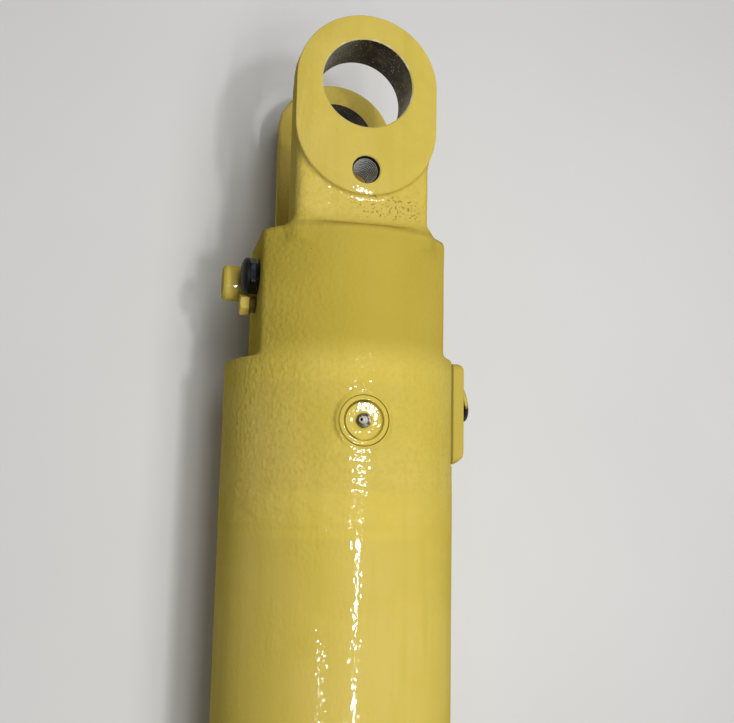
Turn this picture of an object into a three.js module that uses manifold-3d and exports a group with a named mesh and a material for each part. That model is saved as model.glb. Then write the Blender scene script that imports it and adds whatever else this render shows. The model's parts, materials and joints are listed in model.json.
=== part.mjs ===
// Double-acting hydraulic cylinder with a forged fork (clevis) at the cap end and a spherical-bearing eye on the rod.
// Millimetres. Y runs along the cylinder, towards the fork; Z is the axis of the pin bores; the cylinder lies on the ground.
// The inner frame has its origin at the fork's pin-bore centre. The outer group moves it so that the origin is on the
// ground, under the centre of the whole cylinder's footprint.
import * as THREE from "three";
import { mergeVertices } from "three/addons/utils/BufferGeometryUtils.js";
import Module from "manifold-3d";

const wasm = await Module();
wasm.setup();

// ---------------------------------------------------------------- driving dimensions
const GAP = 0.3; // between pieces that touch
const SEG = 32; // sides of the large round pieces; one flat side faces the ground
const SEG_MID = 24;
const SEG_SMALL = 10;

const BARREL_R = 105; // barrel outside radius
const TUBE_R = BARREL_R / Math.cos(Math.PI / SEG); // the faceted barrel stands round the true circle
const BORE_R = 80; // barrel inside radius
const ROD_R = 50; // piston rod radius
const STROKE = 350;

// fork forging
const PIN_R = 40; // pin bores in the two ears
const EAR_R = 62.5; // machined ear face
const EAR_FACE_Z = 95;
const EAR_LOW_Y = -38; // centre of the ear face's lower half round
const ARM_HALF = 60; // arm half width
const ARM_Z = 90;
const SLOT_HALF = 48; // half the gap between the ears
const SLOT_BOTTOM_Y = -122;
const SLOT_FILLET = 18;
const LOCK_HOLE_Y = -78.3; // tapped hole for the pin lock
const LOCK_HOLE_R = 12.3;
const COLLAR_TOP_Y = -128;
const FLAT_X = 82.5; // flat on the fittings' side of the collar
const FLAT_RIGHT_X = 80; // flat on the port's side
const FLAT_LOW_Z = -17; // below this the flats fall back with the forging's draft
const SHOULDER_Y = -238.5; // end of the left flat
const SHOULDER_RIGHT_Y = -232; // end of the right flat
const CAVITY_TOP_Y = -250;
const WELD_Y = -362; // forging welded to the tube

// ports, bleed and small fittings
const PORT_Y = -265;
const PORT_R = 16;
const PAD_FACE_X = 109;
const PAD_SEAT_X = 95;
const PAD_UP = 32; // pad edge above the port centre
const PAD_DOWN = 60; // and below it
const PAD_HALF_Z = 39;
const ROD_PORT_Y = -810;
const BLEED_Y = -295;
const SIDE_PORT_Y = -165;
const SIDE_CAP_Z = 34;
const SIDE_BOSS_Z = 0;
const SIDE_BOLT_Y = -188;
const SIDE_BOLT_Z = 21;

// tube, gland and seals
const TUBE_END_Y = -880;
const GLAND_FACE_Y = -922;
const GLAND_IN_Y = -790;
const BOLTS = 10;
const BOLT_CIRCLE_R = 93;

// piston and rod, drawn in
const PISTON_FRONT_Y = -435;
const PISTON_REAR_Y = -345;
const NUT_REAR_Y = -298;
const ROD_TIP_Y = -264;
const EYE_Y = -1050; // pin centres are 1050 apart with the rod drawn in
const EYE_R = 85;
const EYE_HALF = 35;
const BEARING_R = 60; // outer ring outside radius
const BEARING_BORE_R = 40;

// where the fork's pin-bore centre sits above the ground point under the middle of the footprint
const SHIFT = { x: -7.35, y: 541.85, z: BARREL_R };

// ---------------------------------------------------------------- materials
const mat = (color, roughness, metalness) =>
  new THREE.MeshStandardMaterial({ color, roughness, metalness });
const paint = mat(0xd1b23a, 0.3, 0.0);
const chrome = mat(0xc9ccd0, 0.08, 1.0);
const steel = mat(0x8c8b86, 0.4, 0.9);
const blackSteel = mat(0x26272a, 0.45, 0.8);
const zinc = mat(0x9ba3ad, 0.35, 0.9);
const bronze = mat(0xa87b3e, 0.4, 0.9);
const rubber = mat(0x1b1b1c, 0.7, 0.0);
const plastic = mat(0x17181a, 0.5, 0.0);
const polymer = mat(0x3b6a4a, 0.6, 0.0);

// ---------------------------------------------------------------- solids
// One closed piece from a three.js geometry, faces out.
function solid(geometry) {
  const g = geometry.index ? geometry.toNonIndexed() : geometry.clone();
  const bare = new THREE.BufferGeometry().setAttribute(
    "position",
    g.getAttribute("position"),
  );
  const m = mergeVertices(bare, 1e-3);
  const src = m.index.array;
  const kept = [];
  for (let i = 0; i < src.length; i += 3) {
    const [a, b, c] = [src[i], src[i + 1], src[i + 2]];
    if (a !== b && b !== c && a !== c) kept.push(a, b, c);
  }
  const p = m.attributes.position.array;
  let vol = 0;
  for (let i = 0; i < kept.length; i += 3) {
    const [a, b, c] = [kept[i] * 3, kept[i + 1] * 3, kept[i + 2] * 3];
    vol +=
      p[a] * (p[b + 1] * p[c + 2] - p[b + 2] * p[c + 1]) -
      p[a + 1] * (p[b] * p[c + 2] - p[b + 2] * p[c]) +
      p[a + 2] * (p[b] * p[c + 1] - p[b + 1] * p[c]);
  }
  if (vol < 0)
    for (let i = 0; i < kept.length; i += 3)
      [kept[i + 1], kept[i + 2]] = [kept[i + 2], kept[i + 1]];
  return new wasm.Manifold(
    new wasm.Mesh({
      numProp: 3,
      vertProperties: p,
      triVerts: new Uint32Array(kept),
    }),
  );
}

const join = (first, ...rest) => rest.reduce((a, b) => a.add(b), first);
const cut = (first, ...rest) => rest.reduce((a, b) => a.subtract(b), first);

function geometryOf(s) {
  const m = s.getMesh();
  const n = m.numProp;
  const v = new Float32Array(m.numVert * 3);
  for (let i = 0; i < m.numVert; i++)
    v.set(m.vertProperties.subarray(i * n, i * n + 3), i * 3);
  const g = new THREE.BufferGeometry();
  g.setAttribute("position", new THREE.BufferAttribute(v, 3));
  g.setIndex(new THREE.BufferAttribute(new Uint32Array(m.triVerts), 1));
  g.computeVertexNormals();
  return g;
}

// Turned piece round the Y axis. profile is a list of [radius, y].
function turned(profile, n = SEG) {
  const pts = profile.map(([r, y]) => new THREE.Vector2(r, y));
  const first = profile[0];
  const last = profile[profile.length - 1];
  if (first[0] > 0 || last[0] > 0) pts.push(pts[0].clone());
  return solid(new THREE.LatheGeometry(pts, n, Math.PI / n));
}

// Ring round Y between two radii and two heights.
const ring = (rIn, rOut, y0, y1, n = SEG) =>
  turned(
    [
      [rIn, y0],
      [rOut, y0],
      [rOut, y1],
      [rIn, y1],
    ],
    n,
  );

function box(x0, x1, y0, y1, z0, z1) {
  return solid(
    new THREE.BoxGeometry(x1 - x0, y1 - y0, z1 - z0).translate(
      (x0 + x1) / 2,
      (y0 + y1) / 2,
      (z0 + z1) / 2,
    ),
  );
}

// Straight round piece along "x", "y" or "z", from a to b, at the other two coordinates in at.
function rod(axis, r, a, b, at, n = SEG_SMALL, r2 = r) {
  const g = new THREE.CylinderGeometry(r2, r, b - a, n, 1);
  g.rotateY(Math.PI / n);
  g.translate(0, (a + b) / 2, 0);
  if (axis === "x") g.rotateZ(-Math.PI / 2);
  if (axis === "z") g.rotateX(Math.PI / 2);
  const [p, q] = at;
  if (axis === "x") g.translate(0, p, q);
  if (axis === "y") g.translate(p, 0, q);
  if (axis === "z") g.translate(p, q, 0);
  return solid(g);
}

// Prism of a closed outline: plane "xy" runs along z, "xz" along y, "yz" along x.
function prism(plane, outline, a, b) {
  const shape = new THREE.Shape(
    outline.map(([p, q]) => new THREE.Vector2(p, q)),
  );
  const g = new THREE.ExtrudeGeometry(shape, {
    depth: b - a,
    bevelEnabled: false,
  });
  g.translate(0, 0, a);
  if (plane === "xz")
    g.applyMatrix4(
      new THREE.Matrix4().set(1, 0, 0, 0, 0, 0, 1, 0, 0, 1, 0, 0, 0, 0, 0, 1),
    );
  if (plane === "yz")
    g.applyMatrix4(
      new THREE.Matrix4().set(0, 0, 1, 0, 1, 0, 0, 0, 0, 1, 0, 0, 0, 0, 0, 1),
    );
  return solid(g);
}

// Closed band between two outlines with the same number of points, in planes y = y0 and y = y1 (points are [x, z]).
function tapered(outline0, y0, outline1, y1) {
  const n = outline0.length;
  const pos = [];
  const p0 = (i) => [outline0[i % n][0], y0, outline0[i % n][1]];
  const p1 = (i) => [outline1[i % n][0], y1, outline1[i % n][1]];
  for (let i = 0; i < n; i++) {
    pos.push(...p0(i), ...p0(i + 1), ...p1(i + 1));
    pos.push(...p0(i), ...p1(i + 1), ...p1(i));
  }
  for (let i = 1; i < n - 1; i++) {
    pos.push(...p0(0), ...p0(i + 1), ...p0(i));
    pos.push(...p1(0), ...p1(i), ...p1(i + 1));
  }
  const g = new THREE.BufferGeometry();
  g.setAttribute("position", new THREE.Float32BufferAttribute(pos, 3));
  return solid(g);
}

// Outline with two half rounds of radius r, centres (0, top) and (0, bottom); flatEnd makes the lower end square at bottom.
function obround(r, top, bottom, flatEnd = false, n = 24) {
  const pts = [];
  for (let i = 0; i <= n; i++) {
    const a = (Math.PI * i) / n;
    pts.push([r * Math.cos(a), top + r * Math.sin(a)]);
  }
  if (flatEnd) pts.push([-r, bottom], [r, bottom]);
  else
    for (let i = 0; i <= n; i++) {
      const a = Math.PI + (Math.PI * i) / n;
      pts.push([r * Math.cos(a), bottom + r * Math.sin(a)]);
    }
  return pts;
}

// ---------------------------------------------------------------- scene graph
const assembly = new THREE.Group();
const inner = new THREE.Group();
inner.position.set(SHIFT.x, SHIFT.y, SHIFT.z);
assembly.add(inner);
const barrelGroup = new THREE.Group();
const rodGroup = new THREE.Group();
rodGroup.position.set(0, EYE_Y, 0); // the rod's own frame sits in its eye
inner.add(barrelGroup, rodGroup);

function piece(name, s, material, parent = barrelGroup, at = [0, 0, 0]) {
  const mesh = new THREE.Mesh(geometryOf(s), material);
  mesh.name = name;
  mesh.position.set(...at);
  parent.add(mesh);
  return mesh;
}

// ---------------------------------------------------------------- fork forging
{
  const roundPart = turned([
    [0, WELD_Y],
    [TUBE_R - 1.5, WELD_Y],
    [TUBE_R, WELD_Y + 1.5],
    [TUBE_R, COLLAR_TOP_Y - 4],
    [TUBE_R - 1.2, COLLAR_TOP_Y - 1.2],
    [TUBE_R - 4, COLLAR_TOP_Y],
    [0, COLLAR_TOP_Y],
  ]);
  const side = (s, x, shoulder) =>
    prism(
      "xz",
      [
        [s * x, 120],
        [s * x, FLAT_LOW_Z],
        [s * 70.5, -100],
        [s * 70.5, -120],
        [s * 130, -120],
        [s * 130, 120],
      ],
      shoulder,
      COLLAR_TOP_Y + 20,
    );
  let body = cut(
    roundPart,
    side(1, FLAT_RIGHT_X, SHOULDER_RIGHT_Y),
    side(-1, FLAT_X, SHOULDER_Y),
  );

  // arm section: square-shouldered at the front ear, drafted towards the back of the rear ear
  const half = [
    [ARM_HALF - 9, ARM_Z],
    [ARM_HALF - 2.6, ARM_Z - 5],
    [ARM_HALF, ARM_Z - 14],
    [ARM_HALF, 44],
    [ARM_HALF - 2.5, -44],
    [ARM_HALF - 6, -74],
    [ARM_HALF - 10, -84],
    [ARM_HALF - 17, -ARM_Z],
  ];
  const section = (d) => {
    const r = half.map(([x, z]) => [x + d, z + Math.sign(z) * d]);
    return [...r, ...[...r].reverse().map(([x, z]) => [-x, z])];
  };
  const neck = prism("xz", section(0), COLLAR_TOP_Y - 10, 80).intersect(
    prism("xy", obround(ARM_HALF, 0, -140, true), -100, 100),
  );
  const flare = join(
    tapered(section(2.8), COLLAR_TOP_Y - 0.5, section(0.9), COLLAR_TOP_Y + 3),
    tapered(section(0.9), COLLAR_TOP_Y + 3, section(0), COLLAR_TOP_Y + 8),
    prism("xz", section(2.8), COLLAR_TOP_Y - 3, COLLAR_TOP_Y - 0.4),
  );
  // raised machined face, on the front ear only: the pin is locked there
  const earFace = prism(
    "xy",
    obround(EAR_R, 0, EAR_LOW_Y),
    ARM_Z - 12,
    EAR_FACE_Z,
  );
  body = join(body, neck, flare, earFace);

  // gap between the ears, with rounded corners at its bottom
  const slot = [];
  for (let i = 0; i <= 5; i++) {
    const a = (Math.PI / 2) * (i / 5);
    slot.push([
      SLOT_BOTTOM_Y + SLOT_FILLET - SLOT_FILLET * Math.sin(a),
      SLOT_HALF - SLOT_FILLET + SLOT_FILLET * Math.cos(a),
    ]);
  }
  const slotOutline = [[90, SLOT_HALF], ...slot];
  for (const [y, z] of [...slot].reverse()) slotOutline.push([y, -z]);
  slotOutline.push([90, -SLOT_HALF]);
  body = cut(body, prism("yz", slotOutline, -130, 130));

  // pin bores with a small chamfer at each outer face, and the tapped hole for the pin lock
  body = cut(
    body,
    rod("z", PIN_R, -120, 120, [0, 0], SEG),
    rod("z", PIN_R - 1, EAR_FACE_Z - 3, EAR_FACE_Z + 1, [0, 0], SEG, PIN_R + 3),
    rod("z", PIN_R + 3, -(ARM_Z + 1), -(ARM_Z - 3), [0, 0], SEG, PIN_R - 1),
    rod("z", LOCK_HOLE_R, 20, 120, [0, LOCK_HOLE_Y], SEG_SMALL),
  );

  // oil space: bore, counterbore for the tube's spigot, port, bleed passage and side galleries
  body = cut(
    body,
    turned([
      [0, WELD_Y - 5],
      [BORE_R, WELD_Y - 5],
      [BORE_R, CAVITY_TOP_Y - 8],
      [BORE_R - 8, CAVITY_TOP_Y],
      [0, CAVITY_TOP_Y],
    ]),
    turned([
      [0, WELD_Y - 5],
      [BORE_R + 6 + GAP, WELD_Y - 5],
      [BORE_R + 6 + GAP, WELD_Y + 10],
      [0, WELD_Y + 10],
    ]),
    // seat and bore of the cap-end port pad
    box(
      PAD_SEAT_X,
      130,
      PORT_Y - PAD_DOWN - 1,
      PORT_Y + PAD_UP + 30,
      -60,
      60,
    ),
    rod("x", PORT_R, 60, 130, [PORT_Y, 0], SEG_MID),
    // bleed passage and the seat of its guard ring
    rod("z", 6.1, 70, 130, [0, BLEED_Y]),
    rod("z", 21, 100, 130, [0, BLEED_Y], SEG_MID),
    // side ports with their galleries down to the oil space, and the small bolt's hole
    rod("x", 9.3, -120, -60, [SIDE_PORT_Y, SIDE_CAP_Z]),
    rod("x", 9.3, -120, -60, [SIDE_PORT_Y, SIDE_BOSS_Z]),
    rod("x", 4, -62, -44, [SIDE_PORT_Y, SIDE_CAP_Z], 8),
    rod("x", 4, -62, -44, [SIDE_PORT_Y, SIDE_BOSS_Z], 8),
    rod("y", 4, -270, SIDE_PORT_Y, [-48, SIDE_CAP_Z], 8),
    rod("y", 4, -270, SIDE_PORT_Y, [-48, SIDE_BOSS_Z], 8),
    rod("x", 4.4, -120, -62, [SIDE_BOLT_Y, SIDE_BOLT_Z], 12),
  );
  piece("clevis_base", body, paint);
}

// ---------------------------------------------------------------- barrel tube
{
  const boltHole = (i) => {
    const a = (2 * Math.PI * (i + 0.5)) / BOLTS;
    return rod(
      "y",
      7.9,
      TUBE_END_Y - 5,
      TUBE_END_Y + 34,
      [BOLT_CIRCLE_R * Math.cos(a), BOLT_CIRCLE_R * Math.sin(a)],
      8,
    );
  };
  let tube = turned([
    [BORE_R, WELD_Y + 9],
    [BORE_R + 6, WELD_Y + 9],
    [BORE_R + 6, WELD_Y - GAP],
    [TUBE_R - 1.5, WELD_Y - GAP],
    [TUBE_R, WELD_Y - GAP - 1.5],
    [TUBE_R, TUBE_END_Y + 1],
    [TUBE_R - 1, TUBE_END_Y],
    [BORE_R + 2, TUBE_END_Y],
    [BORE_R, TUBE_END_Y + 4],
  ]);
  tube = cut(
    tube,
    box(
      PAD_SEAT_X,
      130,
      ROD_PORT_Y - PAD_UP - 1,
      ROD_PORT_Y + PAD_DOWN + 1,
      -60,
      60,
    ),
    rod("x", PORT_R, 60, 130, [ROD_PORT_Y, 0], SEG_MID),
    ...Array.from({ length: BOLTS }, (_, i) => boltHole(i)),
  );
  piece("barrel_tube", tube, paint);
}

// ---------------------------------------------------------------- port pads and plugs
// Rectangular pad with a round port and four tapped holes. Local frame: seat at x = 0, centre of the port at y = z = 0.
function portPad() {
  const t = PAD_FACE_X - PAD_SEAT_X - GAP;
  const [up, dn, w] = [PAD_UP, -PAD_DOWN, PAD_HALF_Z];
  const plan = prism(
    "yz",
    [
      [dn, -w + 8],
      [dn + 2.4, -w + 2.4],
      [dn + 8, -w],
      [up - 8, -w],
      [up - 2.4, -w + 2.4],
      [up, -w + 8],
      [up, w - 8],
      [up - 2.4, w - 2.4],
      [up - 8, w],
      [dn + 8, w],
      [dn + 2.4, w - 2.4],
      [dn, w - 8],
    ],
    0,
    t,
  );
  const holes = [];
  for (const sy of [-1, 1])
    for (const sz of [-1, 1])
      holes.push(rod("x", 4.6, -5, 40, [sy * 15.1, sz * 29.35], 8));
  // chamfers at the two ends of the face, wider at the far end
  const end = (y, s, d) =>
    prism(
      "xy",
      [
        [t + 1, y - s * (d + 1)],
        [t + 1, y + s],
        [t - d, y + s],
      ],
      -w - 1,
      w + 1,
    );
  return cut(
    plan,
    rod("x", PORT_R, -5, 40, [0, 0], SEG_MID),
    end(up, 1, 3),
    end(dn, -1, 7),
    ...holes,
  );
}
const padShape = portPad();
piece("cap_end_port_pad", padShape, paint, barrelGroup, [
  PAD_SEAT_X + GAP,
  PORT_Y,
  0,
]);
// at the rod end the same pad is turned end for end, so that its port is next to the gland
piece("rod_end_port_pad", padShape, paint, barrelGroup, [
  PAD_SEAT_X + GAP,
  ROD_PORT_Y,
  0,
]).rotation.x = Math.PI;

// Push-in transport plug: domed flange over the port, hollow ribbed stem inside it. Local frame: flange seat at x = 0, axis +x.
function portPlug(stemR) {
  const s = turned(
    [
      [0, -1.5],
      [stemR - 2.6, -1.5],
      [stemR - 2.6, -16],
      [stemR, -16],
      [stemR, 0],
      [19.5, 0],
      [19.5, 2.6],
      [17.5, 4.4],
      [0, 5.4],
    ],
    20,
  );
  return s;
}
{
  const straight = piece("rod_end_port_plug", portPlug(15.4), plastic);
  straight.rotation.z = -Math.PI / 2;
  straight.position.set(PAD_FACE_X + GAP, ROD_PORT_Y, 0);
  // the plug in the cap-end port sits crooked, with its rod-side edge out
  const crooked = piece("cap_end_port_plug", portPlug(12.4), plastic);
  crooked.rotation.z = -Math.PI / 2 + THREE.MathUtils.degToRad(13);
  crooked.position.set(PAD_FACE_X + 6.5, PORT_Y + 0.5, 0);
}

// ---------------------------------------------------------------- bleed screw in its guard ring
{
  piece(
    "bleed_guard_ring",
    cut(
      turned(
        [
          [6.4, 0],
          [20.7, 0],
          [20.7, 7.6],
          [19.6, 8.7],
          [17.2, 8.7],
          [16.2, 7.6],
          [16.2, 2.5],
          [6.4, 2.5],
        ],
        SEG_MID,
      ),
    ),
    paint,
    barrelGroup,
    [0, BLEED_Y, 100 + GAP],
  ).rotation.x = Math.PI / 2;

  // shank, hexagon and nose with the vent hole drilled down it
  const screw = cut(
    join(
      turned(
        [
          [0, -14],
          [3.4, -14],
          [5.8, -9],
          [5.8, 3.2],
          [0, 3.2],
        ],
        SEG_SMALL,
      ),
      rod("y", 6.06, 2.9, 8.2, [0, 0], 6),
      turned(
        [
          [0, 8],
          [3.6, 8],
          [2.5, 9.6],
          [3.1, 11.2],
          [2.2, 13.2],
          [0, 13.2],
        ],
        SEG_SMALL,
      ),
    ),
    rod("y", 0.9, 4, 20, [0, 0], 8),
  );
  const mesh = piece("bleed_screw", screw, steel);
  mesh.rotation.x = Math.PI / 2;
  mesh.position.set(0, BLEED_Y, 100 + GAP);
}

// ---------------------------------------------------------------- fittings on the collar's flat
{
  // hexagon adapter screwed into the upper side port: local axis +y points out of the flat
  const out = (mesh, y, z, x = -FLAT_X - GAP) => {
    mesh.rotation.z = Math.PI / 2;
    mesh.position.set(x, y, z);
  };
  const adapter = join(
    turned(
      [
        [0, -16],
        [8.6, -16],
        [8.6, 0],
        [15.4, 0],
        [15.4, 1.4],
        [0, 1.4],
      ],
      24,
    ),
    rod("y", 16.2, 1.3, 7.6, [0, 0], 6),
    turned(
      [
        [0, 7.5],
        [9, 7.5],
        [9, 11.5],
        [0, 11.5],
      ],
      24,
    ),
  );
  out(
    piece(
      "side_port_adapter",
      cut(adapter, rod("y", 4, -20, 20, [0, 0], 12)),
      zinc,
    ),
    SIDE_PORT_Y,
    SIDE_CAP_Z,
  );
  out(
    piece(
      "side_port_cap",
      turned(
        [
          [9.3, 7.9],
          [16.1, 7.9],
          [16.1, 10],
          [14.6, 12.6],
          [10.5, 14.2],
          [0, 14.8],
          [0, 12],
          [9.3, 12],
        ],
        24,
      ),
      plastic,
    ),
    SIDE_PORT_Y,
    SIDE_CAP_Z,
  );
  // painted round plug in the lower side port
  out(
    piece(
      "side_port_boss",
      turned(
        [
          [0, -16],
          [8.6, -16],
          [8.6, 0],
          [14.4, 0],
          [14.4, 6],
          [16.1, 7],
          [16.1, 25.4],
          [14.2, 27.6],
          [0, 27.6],
        ],
        24,
      ),
      paint,
    ),
    SIDE_PORT_Y,
    SIDE_BOSS_Z,
  );
  // small painted bolt with its spacer
  out(
    piece(
      "side_spacer",
      ring(4.6, 7.6, 0, 5.4, SEG_SMALL),
      paint,
    ),
    SIDE_BOLT_Y,
    SIDE_BOLT_Z,
  );
  out(
    piece(
      "side_bolt",
      join(
        turned(
          [
            [0, -16],
            [4, -16],
            [4, 6],
            [0, 6],
          ],
          12,
        ),
        rod("y", 9.8, 5.7, 13.6, [0, 0], 6),
      ),
      paint,
    ),
    SIDE_BOLT_Y,
    SIDE_BOLT_Z,
  );
}

// ---------------------------------------------------------------- gland (rod-end head) with its seals
const BUSH_Y = [-800, -836];
const BUFFER_Y = [-846, -853];
const USEAL_Y = [-862, -873];
const WIPER_Y = [-905, -914.6];
const ORING_Y = [-851, -856.6];
{
  const clear = ROD_R + 0.7; // gland bore round the rod
  const groove = (r, a, b) => [
    [clear, a + GAP],
    [r, a + GAP],
    [r, b - GAP],
    [clear, b - GAP],
  ];
  const face = GLAND_FACE_Y;
  const flangeIn = TUBE_END_Y - GAP;
  let gland = turned([
    [clear, GLAND_IN_Y],
    [70, GLAND_IN_Y],
    [72, GLAND_IN_Y - 2],
    [72, -830],
    [BORE_R - 0.35, -838],
    // O-ring and back-up ring groove
    [BORE_R - 0.35, ORING_Y[0] + GAP],
    [74.6, ORING_Y[0] + GAP],
    [74.6, ORING_Y[1] - 2.8],
    [BORE_R - 0.35, ORING_Y[1] - 2.8],
    [BORE_R - 0.35, flangeIn],
    [TUBE_R, flangeIn],
    [TUBE_R, face + 2],
    [TUBE_R - 2, face],
    // wiper seat, open to the front, with the retaining ring's groove
    [57 + GAP, face],
    [57 + GAP, -918.4],
    [59.4, -918.4],
    [59.4, -915.2],
    [57 + GAP, -915.2],
    [57 + GAP, WIPER_Y[0] + GAP],
    [clear, WIPER_Y[0] + GAP],
    ...groove(57.6, ...USEAL_Y).reverse(),
    ...groove(57.6, ...BUFFER_Y).reverse(),
    ...groove(55.6, ...BUSH_Y).reverse(),
  ]);
  const boltHole = (i) => {
    const a = (2 * Math.PI * (i + 0.5)) / BOLTS;
    return rod(
      "y",
      7.9,
      face - 5,
      flangeIn + 10,
      [BOLT_CIRCLE_R * Math.cos(a), BOLT_CIRCLE_R * Math.sin(a)],
      8,
    );
  };
  // slots in the nose let the oil past to the port
  gland = cut(
    gland,
    ...Array.from({ length: BOLTS }, (_, i) => boltHole(i)),
  );
  piece("gland", gland, paint);

  const soft = (rIn, rOut, y0, y1) => ring(rIn, rOut, y0, y1, SEG);
  piece("rod_bushing", soft(ROD_R + 0.35, 55.2, ...BUSH_Y), bronze);
  piece(
    "rod_buffer_seal",
    turned([
      [ROD_R + 0.35, BUFFER_Y[0]],
      [57.2, BUFFER_Y[0]],
      [57.2, BUFFER_Y[1]],
      [ROD_R + 2, BUFFER_Y[1]],
    ]),
    polymer,
  );
  piece(
    "rod_u_seal",
    turned([
      [ROD_R + 0.35, USEAL_Y[0]],
      [52.6, USEAL_Y[0]],
      [53.8, USEAL_Y[0] - 4.5],
      [55, USEAL_Y[0]],
      [57.2, USEAL_Y[0]],
      [57.2, USEAL_Y[1]],
      [ROD_R + 1.2, USEAL_Y[1]],
    ]),
    rubber,
  );
  piece(
    "wiper_seal",
    turned([
      [ROD_R + 1.4, WIPER_Y[0]],
      [57, WIPER_Y[0]],
      [57, WIPER_Y[1]],
      [54.6, WIPER_Y[1]],
      [ROD_R + 0.35, -921.5],
    ]),
    rubber,
  );
  piece(
    "wiper_retaining_ring",
    ring(55.6, 59.1, -918.1, -915.5),
    steel,
  );
  piece(
    "gland_o_ring",
    turned([
      [75, -853.4],
      [76.6, -851.3],
      [79, -851.6],
      [79.5, -853.4],
      [79, -855.2],
      [76.6, -855.5],
    ]),
    rubber,
  );
  piece("gland_backup_ring", ring(75, 79.5, -858.9, -856.3), plastic);

  // socket-head screws: local frame has the head's seat at y = 0 and the shank along +y
  const screw = cut(
    turned(
      [
        [0, 66],
        [5.6, 66],
        [7, 64.6],
        [7, 0],
        [10.4, 0],
        [10.4, -12.6],
        [9.2, -14],
        [0, -14],
      ],
      SEG_SMALL,
    ),
    rod("y", 6.9, -20, -7, [0, 0], 6),
  );
  for (let i = 0; i < BOLTS; i++) {
    const a = (2 * Math.PI * (i + 0.5)) / BOLTS;
    piece(
      "gland_bolt_" + String(i + 1).padStart(2, "0"),
      screw,
      blackSteel,
      barrelGroup,
      [
        BOLT_CIRCLE_R * Math.cos(a),
        face - GAP,
        BOLT_CIRCLE_R * Math.sin(a),
      ],
    );
  }
}

// ---------------------------------------------------------------- piston seals, which slide with the piston
{
  piece(
    "piston_seal",
    turned([
      [73.4, -386],
      [79.5, -386],
      [79.5, -394],
      [73.4, -394],
    ]),
    polymer,
  );
  piece("piston_wear_ring_rear", ring(76.4, 79.55, -372, -356), polymer);
  piece("piston_wear_ring_front", ring(76.4, 79.55, -424, -408), polymer);
}

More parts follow.
